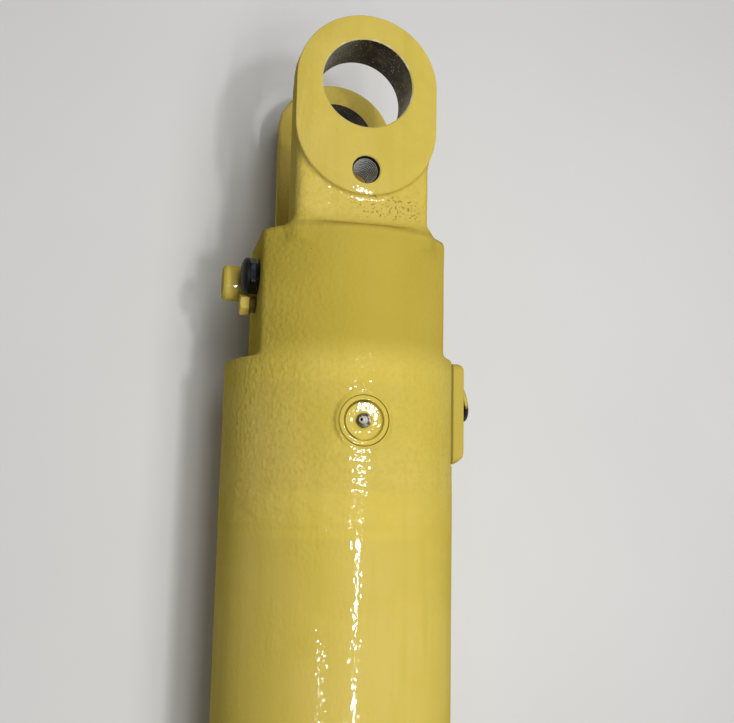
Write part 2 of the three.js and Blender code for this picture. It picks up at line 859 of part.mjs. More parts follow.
// ---------------------------------------------------------------- piston, rod and eye (rod frame: origin in the eye)
{
  const up = (y) => y - EYE_Y; // fork frame to rod frame
  const inRod = (pts) => pts.map(([r, y]) => [r, up(y)]);
  const P = BORE_R - 1.1;
  piece(
    "piston",
    turned(
      inRod([
        [36.3, PISTON_FRONT_Y + GAP],
        [P - 2, PISTON_FRONT_Y + GAP],
        [P, PISTON_FRONT_Y + 2],
        [P, -424 - GAP],
        [75.6, -424 - GAP],
        [75.6, -408 + GAP],
        [P, -408 + GAP],
        [P, -394 - GAP],
        [72.6, -394 - GAP],
        [72.6, -386 + GAP],
        [P, -386 + GAP],
        [P, -372 - GAP],
        [75.6, -372 - GAP],
        [75.6, -356 + GAP],
        [P, -356 + GAP],
        [P, PISTON_REAR_Y - 2],
        [P - 2, PISTON_REAR_Y],
        [36.3, PISTON_REAR_Y],
        [36.3, -384],
        [40.6, -384],
        [40.6, -390],
        [36.3, -390],
      ]),
    ),
    steel,
    rodGroup,
  );
  piece(
    "piston_o_ring",
    turned(
      inRod([
        [36.6, -387],
        [37.6, -384.7],
        [39.4, -384.7],
        [40.2, -387],
        [39.4, -389.3],
        [37.6, -389.3],
      ]),
      SEG_MID,
    ),
    rubber,
    rodGroup,
  );
  // rod with its reduced end through the piston and nut, and a spigot into the eye
  piece(
    "piston_rod",
    turned(
      inRod([
        [0, ROD_TIP_Y],
        [33, ROD_TIP_Y],
        [36, ROD_TIP_Y - 3],
        [36, PISTON_FRONT_Y],
        [ROD_R - 3, PISTON_FRONT_Y],
        [ROD_R, PISTON_FRONT_Y - 5],
        [ROD_R, -948],
        [ROD_R - 3, -951],
        [20, -951],
        [20, -962],
        [0, -962],
      ]),
    ),
    chrome,
    rodGroup,
  );
  const nut = cut(
    rod(
      "y",
      60.5,
      up(PISTON_REAR_Y + GAP),
      up(NUT_REAR_Y),
      [0, 0],
      6,
    ).intersect(
      turned(
        inRod([
          [0, PISTON_REAR_Y + GAP],
          [60.6, PISTON_REAR_Y + GAP],
          [60.6, NUT_REAR_Y - 3],
          [55, NUT_REAR_Y],
          [0, NUT_REAR_Y],
        ]),
        SEG_MID,
      ),
    ),
    rod("y", 36.4, up(PISTON_REAR_Y - 5), up(NUT_REAR_Y + 5), [0, 0], SEG),
    rod("x", 5.3, 30, 70, [up(-320), 0], 12),
  );
  piece("piston_nut", nut, steel, rodGroup);
  piece(
    "nut_lock_screw",
    cut(
      rod("x", 5, 37, 51.5, [up(-320), 0], 12),
      rod("x", 2.5, 46, 60, [up(-320), 0], 6),
    ),
    blackSteel,
    rodGroup,
  );

  // eye forging: neck welded to the rod, round eye with a seat for the bearing
  const neckTop = -951 - GAP;
  let eye = join(
    turned(
      inRod([
        [0, neckTop],
        [ROD_R - 3, neckTop],
        [ROD_R, neckTop - 3],
        [54, neckTop - 9],
        [54, -985],
        [0, -985],
      ]),
    ),
    rod("z", EYE_R, -EYE_HALF, EYE_HALF, [0, 0], SEG),
    tapered(
      [
        [54, 34],
        [54, -34],
        [30, -44],
        [-30, -44],
        [-54, -34],
        [-54, 34],
        [-30, 44],
        [30, 44],
      ],
      up(-976),
      [
        [74, 34.5],
        [74, -34.5],
        [40, -34.9],
        [-40, -34.9],
        [-74, -34.5],
        [-74, 34.5],
        [-40, 34.9],
        [40, 34.9],
      ],
      up(-1014),
    ),
  );
  eye = cut(
    eye,
    rod("z", BEARING_R + GAP, -60, 60, [0, 0], SEG),
    rod("z", BEARING_R + 3.4, 23.1, 26.5, [0, 0], SEG),
    rod("z", BEARING_R + 3.4, -26.5, -23.1, [0, 0], SEG),
    rod("y", 20 + GAP, up(-962 - GAP), up(-940), [0, 0], SEG_MID),
    // grease passage through the far side of the eye
    rod("y", 2.5, -EYE_R - 5, -50, [0, 0], 8),
    rod("y", 4.4, -EYE_R - 5, -EYE_R + 9, [0, 0], 12),
  );
  piece("rod_eye", eye, paint, rodGroup);
  const clip = (z0, z1) => {
    const r = cut(
      rod("z", BEARING_R + 3, z0, z1, [0, 0], SEG),
      rod("z", BEARING_R - 3.4, z0 - 1, z1 + 1, [0, 0], SEG),
      box(-5, 5, BEARING_R - 10, BEARING_R + 10, z0 - 1, z1 + 1),
    );
    return r;
  };
  piece("bearing_retaining_ring_upper", clip(23.4, 26.2), steel, rodGroup);
  piece("bearing_retaining_ring_lower", clip(-26.2, -23.4), steel, rodGroup);

  // spherical plain bearing: the rings' axis is z; both surfaces follow one ball centred in the eye
  const BALL_R = 52.5;
  const arc = (r, z0, z1, n) =>
    Array.from({ length: n + 1 }, (_, i) => {
      const z = z0 + ((z1 - z0) * i) / n;
      return [Math.sqrt(r * r - z * z), z];
    });
  const outer = turned([
    [BEARING_R, -22.5],
    [BEARING_R, 22.5],
    ...arc(BALL_R + 0.5, 22.5, -22.5, 5),
  ]);
  const outerMesh = piece("bearing_outer_ring", outer, steel, rodGroup);
  outerMesh.rotation.x = Math.PI / 2;
  const innerRing = turned([
    [BEARING_BORE_R, -26],
    [BEARING_BORE_R, 26],
    [BEARING_BORE_R + 1.5, 27.5],
    ...arc(BALL_R, 27.5, -27.5, 6),
    [BEARING_BORE_R + 1.5, -27.5],
  ]);
  const innerMesh = piece("bearing_inner_ring", innerRing, chrome, rodGroup);
  innerMesh.rotation.x = Math.PI / 2;

  const nipple = cut(
    turned(
      [
        [0, 8],
        [4, 8],
        [4, -0.5],
        [5.2, -0.5],
        [5.2, -5],
        [3.1, -6.5],
        [2.2, -8.2],
        [3.1, -9.6],
        [2, -11.6],
        [0, -11.6],
      ],
      12,
    ),
    rod("y", 0.8, -20, 2, [0, 0], 6),
  );
  piece("eye_grease_fitting", nipple, zinc, rodGroup, [0, -EYE_R + 0.4, 0]);
}

export default assembly;
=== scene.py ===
import bpy
import math
import json
import numpy as np
from mathutils import Matrix


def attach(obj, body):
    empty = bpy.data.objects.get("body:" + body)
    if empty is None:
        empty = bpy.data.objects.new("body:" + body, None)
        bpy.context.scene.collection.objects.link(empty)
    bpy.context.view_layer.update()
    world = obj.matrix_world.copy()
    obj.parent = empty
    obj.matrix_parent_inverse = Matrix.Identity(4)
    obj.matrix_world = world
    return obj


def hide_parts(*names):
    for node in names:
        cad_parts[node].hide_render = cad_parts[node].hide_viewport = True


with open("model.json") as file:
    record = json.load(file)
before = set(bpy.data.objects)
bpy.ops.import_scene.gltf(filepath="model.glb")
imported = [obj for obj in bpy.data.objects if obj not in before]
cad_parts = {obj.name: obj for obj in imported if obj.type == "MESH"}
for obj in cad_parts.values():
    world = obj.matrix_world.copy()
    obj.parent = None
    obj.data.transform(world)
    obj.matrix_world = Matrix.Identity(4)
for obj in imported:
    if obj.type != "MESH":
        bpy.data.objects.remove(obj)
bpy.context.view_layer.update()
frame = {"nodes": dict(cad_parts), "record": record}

# ------------------------------------------------------------------ dimensions, mm, origin at the fork's pin-bore centre
SH = np.array([-7.35, 541.85, 105.0])  # pin-bore centre in the row frame
BARREL_R, BORE_R, ROD_R = 105.0, 80.0, 50.0
PIN_R, EAR_R, EAR_Z, EAR_LOW_Y = 40.0, 62.5, 95.0, -38.0
ARM_HALF, ARM_Z, SLOT_HALF, SLOT_Y = 60.0, 90.0, 48.0, -122.0
LOCK_Y, COLLAR_Y = -78.3, -128.0
FLAT_L, FLAT_R, SHOULDER_L, SHOULDER_R = 82.5, 80.0, -238.5, -232.0
WELD_Y, TUBE_END_Y, GLAND_Y = -362.0, -880.0, -922.0
PORT_Y, ROD_PORT_Y, PAD_SEAT, PAD_FACE = -265.0, -810.0, 95.0, 109.0
BLEED_Y, SIDE_Y, EYE_Y = -295.0, -165.0, -1050.0
BOLTS, BOLT_PCR = 10, 93.0

scene = bpy.context.scene


# ------------------------------------------------------------------ meshes
def mesh_of(name, co, groups):
    """Closed mesh from fit-frame millimetres, faces turned outwards."""
    co = np.asarray(co, float)
    groups = [np.asarray(g, int) for g in groups if len(g)]
    c = co - co.mean(0)
    vol = 0.0
    for g in groups:
        a = c[g[:, 0]]
        for i in range(1, g.shape[1] - 1):
            vol += np.einsum("ij,ij->", a, np.cross(c[g[:, i]], c[g[:, i + 1]]))
    if vol < 0:
        groups = [g[:, ::-1] for g in groups]
    me = bpy.data.meshes.new(name)
    me.vertices.add(len(co))
    me.vertices.foreach_set("co", ((co + SH) * 0.001).astype(np.float32).ravel())
    loops = np.concatenate([g.ravel() for g in groups])
    sizes = np.concatenate([np.full(len(g), g.shape[1]) for g in groups])
    starts = np.concatenate([[0], np.cumsum(sizes)[:-1]])
    me.loops.add(len(loops))
    me.loops.foreach_set("vertex_index", loops.astype(np.int32))
    me.polygons.add(len(sizes))
    me.polygons.foreach_set("loop_start", starts.astype(np.int32))
    me.update(calc_edges=True)
    me.validate()
    return me


def soften(pts, rad=0.6, seg=3, closed=False):
    """Rounds the corners of a polyline. A point may carry its own radius as a third number."""
    out, n = [], len(pts)
    for i, p in enumerate(pts):
        r = p[2] if len(p) > 2 else rad
        here = np.array(p[:2], float)
        if r <= 0 or (not closed and i in (0, n - 1)):
            out.append(tuple(here))
            continue
        a = np.array(pts[i - 1][:2], float) - here
        b = np.array(pts[(i + 1) % n][:2], float) - here
        la, lb = np.linalg.norm(a), np.linalg.norm(b)
        if la < 1e-6 or lb < 1e-6:
            out.append(tuple(here))
            continue
        a, b = a / la, b / lb
        ang = math.acos(float(np.clip(a @ b, -1, 1)))
        if ang > math.radians(174) or ang < math.radians(3):
            out.append(tuple(here))
            continue
        t = min(r / math.tan(ang / 2), 0.46 * la, 0.46 * lb)
        rr = t * math.tan(ang / 2)
        mid = (a + b) / np.linalg.norm(a + b)
        c = here + mid * rr / math.sin(ang / 2)
        s, e = here + a * t - c, here + b * t - c
        a0 = math.atan2(s[1], s[0])
        d = (math.atan2(e[1], e[0]) - a0 + math.pi) % (2 * math.pi) - math.pi
        for k in range(seg + 1):
            out.append((c[0] + rr * math.cos(a0 + d * k / seg), c[1] + rr * math.sin(a0 + d * k / seg)))
    return out


def place(q, axis, at):
    """(u, v, t) columns to x, y, z: the third runs along the axis."""
    u, v, t = q[:, 0], q[:, 1], q[:, 2]
    if axis == "x":
        co = np.stack([t, u, v], 1)
    elif axis == "y":
        co = np.stack([v, t, u], 1)
    else:
        co = np.stack([u, v, t], 1)
    return co + np.asarray(at, float)


def lathe(prof, n=128, axis="y", at=(0, 0, 0), wob=None):
    """Turned piece. prof is [(r, t)]: it starts and ends on the axis, or closes on itself."""
    prof = [tuple(p[:2]) for p in prof]
    ring = prof[0][0] > 1e-6 or prof[-1][0] > 1e-6
    th = 2 * np.pi * np.arange(n) / n
    co, ids = [], []
    k = 0
    for r, t in prof:
        if r < 1e-6:
            co.append([[0, 0, t]])
            ids.append(np.full(n, k))
            k += 1
        else:
            rr = r if wob is None else r * wob(th)
            co.append(np.stack([rr * np.cos(th), rr * np.sin(th), np.full(n, t)], 1))
            ids.append(k + np.arange(n))
            k += n
    quads, tris = [], []
    m = len(prof)
    for i in range(m if ring else m - 1):
        a, b = ids[i], ids[(i + 1) % m]
        a2, b2 = np.roll(a, -1), np.roll(b, -1)
        if a[0] == a[1]:
            tris.append(np.stack([a, b2, b], 1))
        elif b[0] == b[1]:
            tris.append(np.stack([a, a2, b], 1))
        else:
            quads.append(np.stack([a, a2, b2, b], 1))
    co = np.concatenate([np.asarray(c, float) for c in co])
    groups = []
    if quads:
        groups.append(np.concatenate(quads))
    if tris:
        groups.append(np.concatenate(tris))
    return place(co, axis, at), groups


def extrude(outline, a, b, axis="x", at=(0, 0, 0)):
    """Straight prism of a closed outline [(u, v)] between two heights."""
    o = np.array([p[:2] for p in outline], float)
    n = len(o)
    co = np.concatenate([np.column_stack([o, np.full(n, a)]), np.column_stack([o, np.full(n, b)])])
    i = np.arange(n)
    j = (i + 1) % n
    sides = np.stack([i, j, j + n, i + n], 1)
    caps = np.stack([i[::-1], i + n], 0)
    return place(co, axis, at), [sides, caps]


def hexagon(af, turn=0.0):
    r = af / math.sqrt(3)
    return [(r * math.cos(math.radians(60 * k) + turn), r * math.sin(math.radians(60 * k) + turn)) for k in range(6)]


def boolean(me, other, op="DIFFERENCE"):
    a = bpy.data.objects.new("tmp_a", me)
    b = bpy.data.objects.new("tmp_b", other)
    for o in (a, b):
        scene.collection.objects.link(o)
    m = a.modifiers.new("cut", "BOOLEAN")
    m.operation, m.object, m.solver = op, b, "MANIFOLD"
    dg = bpy.context.evaluated_depsgraph_get()
    out = bpy.data.meshes.new_from_object(a.evaluated_get(dg))
    for o in (a, b):
        bpy.data.objects.remove(o)
    bpy.data.meshes.remove(me)
    bpy.data.meshes.remove(other)
    return out


def carve(me, *shapes, op="DIFFERENCE"):
    for co, groups in shapes:
        me = boolean(me, mesh_of("tool", co, groups), op)
    return me


def bevel(me, width, segments=2, angle=30):
    o = bpy.data.objects.new("tmp", me)
    scene.collection.objects.link(o)
    m = o.modifiers.new("edge", "BEVEL")
    m.width, m.segments, m.limit_method, m.angle_limit = width * 0.001, segments, "ANGLE", math.radians(angle)
    m.harden_normals = False
    out = bpy.data.meshes.new_from_object(o.evaluated_get(bpy.context.evaluated_depsgraph_get()))
    bpy.data.objects.remove(o)
    bpy.data.meshes.remove(me)
    return out


def join_meshes(parts):
    """Several closed shells as one mesh."""
    co, groups, k = [], [], 0
    for c, g in parts:
        co.append(c)
        groups += [np.asarray(x) + k for x in g]
        k += len(c)
    sized = {}
    for g in groups:
        sized.setdefault(g.shape[1], []).append(g)
    return np.concatenate(co), [np.concatenate(v) for v in sized.values()]


def piece(name, me, body, mats, reps=(), sharp=35, choose=None):
    """Finished piece: smooth shaded, riding on its body. choose(centres, normals) in fit mm picks a material for each face."""
    me.name = name
    me.polygons.foreach_set("use_smooth", np.ones(len(me.polygons), bool))
    me.set_sharp_from_angle(angle=math.radians(sharp))
    me.materials.clear()
    for m in mats if isinstance(mats, (list, tuple)) else [mats]:
        me.materials.append(m)
    n = len(me.polygons)
    idx = np.zeros(n, np.int32)
    if choose:
        c, nn = np.zeros(n * 3, np.float32), np.zeros(n * 3, np.float32)
        me.polygons.foreach_get("center", c)
        me.polygons.foreach_get("normal", nn)
        idx = choose(c.reshape(-1, 3) * 1000 - SH, nn.reshape(-1, 3)).astype(np.int32)
    me.polygons.foreach_set("material_index", idx)
    me.update()
    ob = bpy.data.objects.new(name, me)
    scene.collection.objects.link(ob)
    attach(ob, body)
    if reps:
        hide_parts(*([reps] if isinstance(reps, str) else reps))
    return ob


# ------------------------------------------------------------------ rounded bodies from a distance field
def smin(a, b, k):
    h = np.maximum(k - np.abs(a - b), 0) / k
    return np.minimum(a, b) - h * h * k * 0.25


def smax(a, b, k):
    return -smin(-a, -b, k)


def step(x, a, b):
    t = np.clip((x - a) / (b - a), 0, 1)
    return t * t * (3 - 2 * t)


def iso(fn, lo, hi, h):
    """Closed mesh of fn < 0 in fit millimetres, its points moved onto the true surface."""
    import openvdb

    lo, hi = np.asarray(lo, float), np.asarray(hi, float)
    n = np.ceil((hi - lo) / h).astype(int) + 1
    x = (lo[0] + h * np.arange(n[0]))[:, None, None]
    y = (lo[1] + h * np.arange(n[1]))[None, :, None]
    z = (lo[2] + h * np.arange(n[2]))[None, None, :]
    d = np.broadcast_to(fn(x, y, z), tuple(n)).astype(np.float32)
    d = np.clip(d, -3 * h, 3 * h)
    grid = openvdb.FloatGrid(3 * h)
    grid.copyFromArray(np.ascontiguousarray(d))
    pts, quads = grid.convertToQuads(isovalue=0.0)
    p = np.asarray(pts, float) * h + lo
    e = 0.15
    for _ in range(2):
        f = fn(p[:, 0], p[:, 1], p[:, 2])
        g = np.stack(
            [
                fn(p[:, 0] + e, p[:, 1], p[:, 2]) - fn(p[:, 0] - e, p[:, 1], p[:, 2]),
                fn(p[:, 0], p[:, 1] + e, p[:, 2]) - fn(p[:, 0], p[:, 1] - e, p[:, 2]),
                fn(p[:, 0], p[:, 1], p[:, 2] + e) - fn(p[:, 0], p[:, 1], p[:, 2] - e),
            ],
            1,
        ) / (2 * e)
        s = -f / np.maximum((g * g).sum(1), 0.2)
        p = p + g * np.clip(s, -0.6 * h, 0.6 * h)[:, None]
    return p, [np.asarray(quads, int)]


WAVES = [
    ((0.11, 0.05, 0.03), 0.4),
    ((-0.04, 0.09, 0.07), 1.9),
    ((0.07, -0.12, 0.05), 3.1),
    ((0.16, 0.10, -0.09), 5.2),
    ((-0.13, 0.17, 0.11), 0.9),
    ((0.05, 0.21, -0.16), 2.6),
]


def waves(X, Y, Z):
    s = 0.0
    for (a, b, c), ph in WAVES:
        s = s + np.sin(a * X + b * Y + c * Z + ph)
    return s / len(WAVES)


def forging(X, Y, Z):
    R = np.sqrt(X * X + Z * Z)
    cast = 0.28 * (1.0 + waves(X, Y, Z)) * step(Y, -364.0, -330.0)
    body = smax(R - BARREL_R + cast, Y - COLLAR_Y + 0.5 * cast, 7.0)
    body = smax(body, -368.0 - Y, 0.5)
    # flats for the fittings and the port, drafted below the split line
    fall = np.clip((-17.0 - Z) / 83.0, 0, 1)
    for s, x0, sh in ((1, FLAT_R, SHOULDER_R), (-1, FLAT_L, SHOULDER_L)):
        flat = smax(x0 - (x0 - 70.5) * fall - s * X - 0.25 * cast, sh - Y, 5.0)
        body = smax(body, -flat, 3.2)
    # neck and ears
    w = np.interp(Z, [-90, -84, -74, -44, 44, 90], [46, 51, 54.5, 57.5, 60, 60])
    ax = np.abs(X)
    top = np.where(Y > 0, np.sqrt(X * X + Y * Y), ax) - ARM_HALF
    neck = smax(smax(ax - w, top, 3.0) + 0.4 * cast, Z - ARM_Z + 0.8 * cast, 13.0)
    neck = smax(neck, -Z - ARM_Z, 9.0)
    neck = smax(neck, COLLAR_Y - 12 - Y, 1.0)
    body = smin(body, neck, 11.0)
    # raised machined face on the front ear
    yy = Y - np.clip(Y, EAR_LOW_Y, 0)
    pad = smax(smax(np.sqrt(X * X + yy * yy) - EAR_R, Z - 95.15, 1.7), 78.0 - Z, 1.6)
    body = smin(body, pad, 5.0)
    # paint built up round the guard ring
    rb = np.sqrt(X * X + (Y - BLEED_Y) ** 2)
    lip = smax(smax(rb - 23.4, Z - 105.9, 1.4), 90.0 - Z, 1.0)
    body = smin(body, lip, 3.4)
    # gap between the ears
    gap = smax(np.abs(Z) - SLOT_HALF, SLOT_Y - Y, 21.0)
    body = smax(body, -gap, 3.0)
    # seat of the port pad
    seat = np.maximum(np.maximum(PAD_SEAT - X, PORT_Y - 61.0 - Y), np.maximum(Y - PORT_Y - 62.0, np.abs(Z) - 60))
    return smax(body, -seat, 1.8)


def port_pad(X, Y, Z):
    """Port at y = z = 0, seat at x = 0."""
    t = PAD_FACE - PAD_SEAT
    qy, qz = np.abs(Y + 14.0) - 38.0, np.abs(Z) - 31.0
    plan = np.sqrt(np.maximum(qy, 0) ** 2 + np.maximum(qz, 0) ** 2) + np.minimum(np.maximum(qy, qz), 0) - 8.0
    d = smax(plan, X - t + 0.12 * (1 + waves(X * 2, Y * 2, Z * 2)), 2.0)
    d = smax(d, (X - t + Y - 29.0) * 0.7071, 2.2)
    d = smax(d, (X - t - Y - 53.0) * 0.7071, 2.6)
    d = smax(d, 0.15 - X, 0.4)
    d = smax(d, 16.0 - np.sqrt(Y * Y + Z * Z), 1.4)
    for sy in (-1, 1):
        for sz in (-1, 1):
            d = smax(d, 4.6 - np.sqrt((Y - sy * 15.1) ** 2 + (Z - sz * 29.35) ** 2), 1.0)
    return d


def rod_eye(X, Y, Z):
    """Origin in the eye, rod along +y."""
    w = 0.22 * (1 + waves(X, Y + 40, Z))
    R = np.sqrt(X * X + Z * Z)
    neck = smax(R - 54.0 + w, Y - 98.0, 1.0)
    cone = (R - (54.0 + np.maximum(95.0 - Y, 0) * 0.55)) * 0.88
    neck = smin(neck, smax(smax(cone, np.abs(Z) - 34.5 - 0.5 * np.maximum(Y - 40, 0) * 0.3, 10.0), np.maximum(Y - 88.0, 30.0 - Y), 8.0), 8.0)
    neck = smax(neck, 12.0 - Y, 4.0)
    neck = smax(neck, Y - 98.7, 0.5)
    neck = smax(neck, (R + Y - 54.0 - 89.7) * 0.7071, 2.0)
    ring = smax(np.sqrt(X * X + Y * Y) - 85.0 + w * 0.8, np.abs(Z) - 35.0, 4.0)
    return smin(neck, ring, 12.0)


# ------------------------------------------------------------------ materials
def material(name):
    m = bpy.data.materials.new(name)
    m.use_nodes = True
    t = m.node_tree
    t.nodes.clear()
    out = t.nodes.new("ShaderNodeOutputMaterial")
    b = t.nodes.new("ShaderNodeBsdfPrincipled")
    t.links.new(b.outputs[0], out.inputs[0])
    co = t.nodes.new("ShaderNodeTexCoord")
    return m, t, b, co.outputs["Object"]


def wire(t, sock, v):
    if isinstance(v, (int, float)):
        sock.default_value = v
    elif isinstance(v, tuple):
        sock.default_value = v if len(v) == len(sock.default_value) else v + (1.0,)
    else:
        t.links.new(v, sock)


def math_(t, op, a, b=None, clamp=False):
    n = t.nodes.new("ShaderNodeMath")
    n.operation, n.use_clamp = op, clamp
    wire(t, n.inputs[0], a)
    if b is not None:
        wire(t, n.inputs[1], b)
    return n.outputs[0]


def noise(t, co, scale, detail=2.0, rough=0.5, stretch=None, dist=0.0):
    if stretch:
        m = t.nodes.new("ShaderNodeMapping")
        m.inputs["Scale"].default_value = stretch
        t.links.new(co, m.inputs[0])
        co = m.outputs[0]
    n = t.nodes.new("ShaderNodeTexNoise")
    t.links.new(co, n.inputs["Vector"])
    n.inputs["Scale"].default_value = scale
    n.inputs["Detail"].default_value = detail
    n.inputs["Roughness"].default_value = rough
    n.inputs["Distortion"].default_value = dist
    return n.outputs["Fac"]


def ramp(t, fac, lo, hi, a=0.0, b=1.0, smooth=True):
    n = t.nodes.new("ShaderNodeMapRange")
    n.interpolation_type = "SMOOTHSTEP" if smooth else "LINEAR"
    wire(t, n.inputs["Value"], fac)
    for k, v in (("From Min", lo), ("From Max", hi), ("To Min", a), ("To Max", b)):
        n.inputs[k].default_value = v
    return n.outputs[0]


def mix(t, fac, a, b, mode="MIX"):
    n = t.nodes.new("ShaderNodeMix")
    n.data_type, n.blend_type = "RGBA", mode
    wire(t, n.inputs[0], fac)
    wire(t, n.inputs[6], a)
    wire(t, n.inputs[7], b)
    return n.outputs[2]


def bump(t, b, height, depth_mm, strength=1.0):
    n = t.nodes.new("ShaderNodeBump")
    n.inputs["Strength"].default_value = strength
    n.inputs["Distance"].default_value = depth_mm * 0.001
    wire(t, n.inputs["Height"], height)
    t.links.new(n.outputs[0], b.inputs["Normal"])
    t.links.new(n.outputs[0], b.inputs["Coat Normal"])


def facing(t, blend=0.5):
    n = t.nodes.new("ShaderNodeLayerWeight")
    n.inputs["Blend"].default_value = blend
    return n.outputs["Facing"]


def swell(t, y, length, phase):
    """Sine along the barrel, 0 to 1."""
    a = math_(t, "ADD", math_(t, "MULTIPLY", y, 2 * math.pi / length), phase)
    return math_(t, "ADD", math_(t, "MULTIPLY", math_(t, "SINE", a), 0.5), 0.5)


def axes(t, co):
    n = t.nodes.new("ShaderNodeSeparateXYZ")
    t.links.new(co, n.inputs[0])
    return n.outputs


def band(t, v, a, b, soft):
    """1 between a and b, fading over soft."""
    return math_(t, "MULTIPLY", ramp(t, v, a - soft, a), ramp(t, v, b, b + soft, 1.0, 0.0))


def row_y(fit):
    return (fit + SH[1]) * 0.001


YELLOW = (0.613, 0.475, 0.103)
RING_X = -0.42  # the guard ring sits to one side of its counterbore


def paint(name, cast=True, dull=0.0, seam_shade=None, gain=1.0, gloss=0.80, recess_painted_shade=False):
    m, t, b, co = material(name)
    x, y, z = axes(t, co)
    # colour: slow drift, thin streaks along the barrel, thicker and thinner coats
    c = mix(t, ramp(t, noise(t, co, 9.0, 3.0), 0.35, 0.65), YELLOW, (0.572, 0.444, 0.074))
    c = mix(t, ramp(t, noise(t, co, 90.0, 3.0, stretch=(1.0, 0.08, 1.0)), 0.46, 0.74, 0.0, 0.30), c, (0.505, 0.392, 0.050))
    c = mix(t, ramp(t, noise(t, co, 38.0, 5.0, 0.65), 0.50, 0.72, 0.0, 0.34), c, (0.660, 0.508, 0.090))
    specks = math_(t, "MULTIPLY", ramp(t, noise(t, co, 620.0, 1.0), 0.70, 0.78), ramp(t, noise(t, co, 28.0, 1.0), 0.54, 0.68))
    # orange peel, coarser in some places than in others
    peel = ramp(t, noise(t, co, 24.0, 2.0), 0.34, 0.66, 0.12 * gain, 0.28 * gain)
    if cast:
        peel = math_(t, "MULTIPLY", peel, ramp(t, y, row_y(-430), row_y(-385), 0.80, 1.0))
    h = math_(t, "MULTIPLY", noise(t, co, 350.0, 0.0, stretch=(1.0, 0.62, 1.0) if cast else None), peel)
    if cast:
        # a darker patch on the collar as painted shade, painted shade in the crease at the foot of the neck, a few open
        # pits
        # painted shade: the collar is darkened in a band, its strength varied by noise
        collar_painted_shade = math_(t, "MULTIPLY", band(t, y, row_y(-222), row_y(-140), 0.030), ramp(t, noise(t, co, 7.0, 2.0), 0.30, 0.62, 0.55, 1.0))
        c = mix(t, math_(t, "MULTIPLY", collar_painted_shade, 0.88), c, (0.415, 0.320, 0.045))
        foot = math_(t, "MULTIPLY", band(t, y, row_y(-117), row_y(-101), 0.005), ramp(t, z, 0.176, 0.19))
        foot = math_(t, "MULTIPLY", foot, ramp(t, x, -0.03, 0.004, 0.12, 1.0))
        foot = math_(t, "MULTIPLY", foot, ramp(t, x, 0.034, 0.046, 1.0, 0.2))
        # painted shade: a dark band along the crease where the neck meets the collar
        crease_painted_shade = math_(t, "MULTIPLY", band(t, y, row_y(-130.5), row_y(-128.5), 0.0035), ramp(t, noise(t, co, 34.0, 2.0), 0.30, 0.60, 0.35, 1.0))
        c = mix(t, math_(t, "MULTIPLY", crease_painted_shade, 0.42), c, (0.255, 0.190, 0.036))
        pits = math_(t, "MULTIPLY", ramp(t, noise(t, co, 420.0, 2.0, 0.6), 0.595, 0.64), foot)
        c = mix(t, math_(t, "MULTIPLY", pits, 0.58), c, (0.150, 0.105, 0.022))
        face = math_(t, "MULTIPLY", ramp(t, z, 0.1990, 0.1996), ramp(t, y, row_y(-118), row_y(-116)))
        forged = math_(t, "MULTIPLY", ramp(t, y, row_y(-368), row_y(-345)), math_(t, "SUBTRACT", 1.0, face))
        mottle = math_(t, "MULTIPLY", ramp(t, noise(t, co, 240.0, 3.0, 0.62), 0.44, 0.64), forged)
        c = mix(t, math_(t, "MULTIPLY", mottle, 0.20), c, (0.440, 0.338, 0.050))
        neck = ramp(t, y, row_y(-130), row_y(-118))
        side = ramp(t, x, -0.085, -0.010, 1.6, 0.68)
        amount = math_(t, "MULTIPLY", forged, math_(t, "ADD", side, math_(t, "MULTIPLY", neck, 0.5)))
        zone = band(t, y, row_y(-349), row_y(-313), 0.006)
        amount = math_(t, "MULTIPLY", amount, math_(t, "SUBTRACT", 1.0, math_(t, "MULTIPLY", zone, 0.6)))
        rough = math_(t, "MULTIPLY", noise(t, co, 235.0, 2.0, 0.46), math_(t, "MULTIPLY", amount, 0.60))
        # turned ripples above the weld, the weld's dressed bead
        beat = math_(t, "ADD", math_(t, "MULTIPLY", math_(t, "SUBTRACT", noise(t, co, 60.0, 2.0), 0.5), 3.2), 0.6)
        ripple = math_(t, "MULTIPLY", swell(t, y, 0.0094, beat), math_(t, "MULTIPLY", zone, 0.36))
        grit = math_(t, "MULTIPLY", noise(t, co, 300.0, 0.0), math_(t, "MULTIPLY", zone, 0.32))
        weld = math_(
            t,
            "MULTIPLY",
            noise(t, co, 95.0, 1.0, 0.4, stretch=(0.8, 1.5, 0.8), dist=0.4),
            math_(t, "MULTIPLY", band(t, y, row_y(-378), row_y(-354), 0.007), 1.15),
        )
        h = math_(t, "ADD", h, math_(t, "ADD", rough, math_(t, "ADD", math_(t, "ADD", ripple, grit), weld)))
        h = math_(t, "SUBTRACT", h, math_(t, "MULTIPLY", pits, 0.5))
        # long shallow waves of the honed tube, seen in the streaks of light
        h = math_(t, "ADD", h, math_(t, "MULTIPLY", noise(t, co, 16.0, 2.0, stretch=(1.0, 0.30, 1.0)), 1.1))
    if recess_painted_shade:
